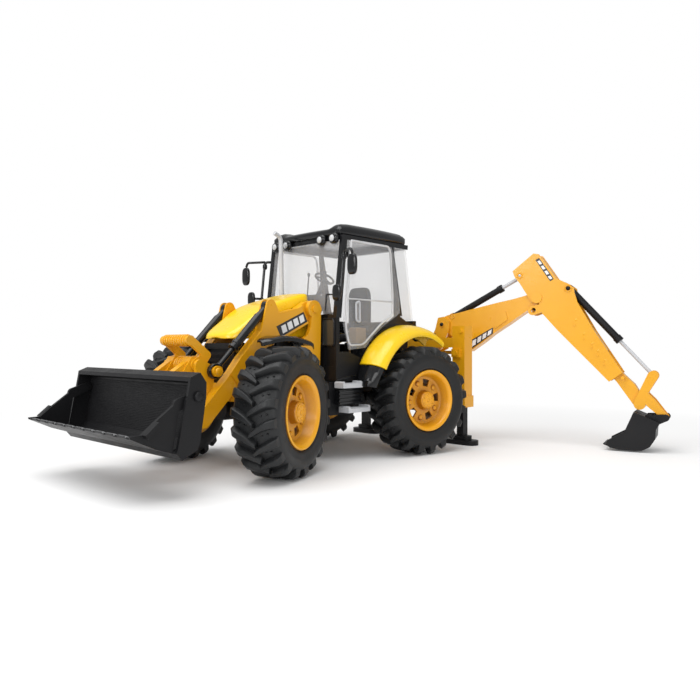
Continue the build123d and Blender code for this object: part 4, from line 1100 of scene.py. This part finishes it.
LINER = [
    (229.1, 69.6), (229.15, 66), (229.3, 63), (229.9, 59), (230.7, 53.5), (231.5, 48), (232.4, 42),
    (233.3, 36.8),
    (235.8, 33.7), (240.8, 31.8), (246.8, 29.9),
]
fine_line = []
for k in range(len(LINER) - 1):
    start, end = Vector(LINER[k]), Vector(LINER[k + 1])
    count = max(2, int((end - start).length / 0.55))
    fine_line += [start.lerp(end, i / count) for i in range(count)]
fine_line.append(Vector(LINER[-1]))
liner_front, liner_back = [], []
for k, here in enumerate(fine_line):
    ahead = (fine_line[min(k + 1, len(fine_line) - 1)] - fine_line[max(k - 1, 0)]).normalized()
    normal = Vector((-ahead.y, ahead.x))
    liner_front.append(here + normal * (0.36 if k % 2 else 0.2))
    liner_back.append(here - normal * 0.25)
liner = plate_mesh(
    [tuple(v) for v in liner_front + liner_back[::-1]], -69.8, 69.8, side_point,
)
mesh_object("bucket_ribbed_liner", *liner, BLACK, "loader_bucket", "black_plastic", smooth=False)

# The lip's edge tube is drawn in the lighter grey: a painted highlight along the scalloped edge.
lip = []
for k in range(441):
    y = -75.2 + 150.4 * k / 440
    scallop = abs(((y + 7.2) % 14.4) - 7.2)
    bite = math.sqrt(max(0.0, 3.2 ** 2 - scallop ** 2))
    x = 276.6 - bite if bite > 1.4 else 275.1
    lip.append(place(x, y, 41.3 + (x - 275) * 0.47 + 0.6))
mesh_object("bucket_lip_edge", *tube_mesh(lip[::2], 0.8, 8), LIP_HIGHLIGHT_GREY, "bucket_clam", "black_plastic")

bolts = []
for sign in (1, -1):
    bolts.append(side_ring(232.5, 63.5, sign * 80.0, 2.6, 0.5))
    bolts.append(dome_mesh(place(232.5, sign * 80.1, 63.5), Vector((0, sign, 0)), 3.1, 1.4))
mesh_object("bucket_bolt_heads", *join_meshes(bolts), BLACK, "loader_bucket", "black_plastic")

# ---------------------------------------------------------------- stage, camera and lights


def stage_mesh(name, vertices, faces, material):
    mesh = bpy.data.meshes.new(name)
    mesh.from_pydata(vertices, [], faces)
    obj = bpy.data.objects.new(name, mesh)
    bpy.context.scene.collection.objects.link(obj)
    mesh.materials.append(material)
    return obj


floor_material, floor_tree, floor_shader = new_material("pale_floor")
floor_shader.inputs["Base Color"].default_value = (0.90, 0.90, 0.90, 1)
floor_shader.inputs["Roughness"].default_value = 0.7
floor_shader.inputs["Specular IOR Level"].default_value = 0.1
spread = floor_tree.nodes.new("ShaderNodeNewGeometry")
distance = floor_tree.nodes.new("ShaderNodeVectorMath")
distance.operation = "LENGTH"
fade = floor_tree.nodes.new("ShaderNodeMapRange")
fade.inputs["From Min"].default_value = 0.2
fade.inputs["From Max"].default_value = 0.6
glow = floor_tree.nodes.new("ShaderNodeEmission")
mixer = floor_tree.nodes.new("ShaderNodeMixShader")
floor_tree.links.new(spread.outputs["Position"], distance.inputs[0])
floor_tree.links.new(distance.outputs["Value"], fade.inputs["Value"])
floor_tree.links.new(fade.outputs["Result"], mixer.inputs["Fac"])
floor_tree.links.new(floor_shader.outputs["BSDF"], mixer.inputs[1])
floor_tree.links.new(glow.outputs["Emission"], mixer.inputs[2])
floor_tree.links.new(mixer.outputs["Shader"], floor_tree.nodes["Material Output"].inputs["Surface"])
stage_mesh("floor", [(-6, -6, 0), (6, -6, 0), (6, 6, 0), (-6, 6, 0)], [(0, 1, 2, 3)], floor_material)

world = bpy.data.worlds.new("studio")
bpy.context.scene.world = world
world.use_nodes = True
background = world.node_tree.nodes["Background"]
background.inputs["Color"].default_value = (1, 1, 1, 1)
seen = world.node_tree.nodes.new("ShaderNodeLightPath")
strength = world.node_tree.nodes.new("ShaderNodeMapRange")
strength.inputs["To Min"].default_value = 0.52
strength.inputs["To Max"].default_value = 1.0
world.node_tree.links.new(seen.outputs["Is Camera Ray"], strength.inputs["Value"])
world.node_tree.links.new(strength.outputs["Result"], background.inputs["Strength"])

CAMERA_AT = place(459.1, 426.4, 94.4)
YAW = math.radians(46.11)
PITCH = math.radians(0.31)
forward = Vector((-math.sin(YAW) * math.cos(PITCH), -math.cos(YAW) * math.cos(PITCH), -math.sin(PITCH)))
camera_data = bpy.data.cameras.new("camera")
camera_data.sensor_width = 36.0
camera_data.lens = 33.82
camera = bpy.data.objects.new("camera", camera_data)
bpy.context.scene.collection.objects.link(camera)
camera.location = CAMERA_AT
camera.rotation_mode = "QUATERNION"
camera.rotation_quaternion = forward.to_track_quat("-Z", "Y")
camera_data.clip_start = 0.01
camera_data.clip_end = 50
bpy.context.scene.camera = camera


def area_light(name, location, target, size, power):
    data = bpy.data.lights.new(name, "AREA")
    data.shape = "RECTANGLE"
    data.size = size
    data.size_y = size * 0.7
    data.energy = power
    light = bpy.data.objects.new(name, data)
    bpy.context.scene.collection.objects.link(light)
    light.location = location
    light.rotation_mode = "QUATERNION"
    light.rotation_quaternion = (Vector(target) - Vector(location)).to_track_quat("-Z", "Y")
    return light


area_light("key", (0.4, 0.0, 1.2), (0.04, -0.02, 0.1), 1.4, 13)
area_light("fill", (0.9, 1.1, 0.5), (0.05, 0, 0.1), 0.7, 4)
area_light("front", (1.3, -0.1, 0.5), (0.1, 0, 0.1), 0.5, 5)
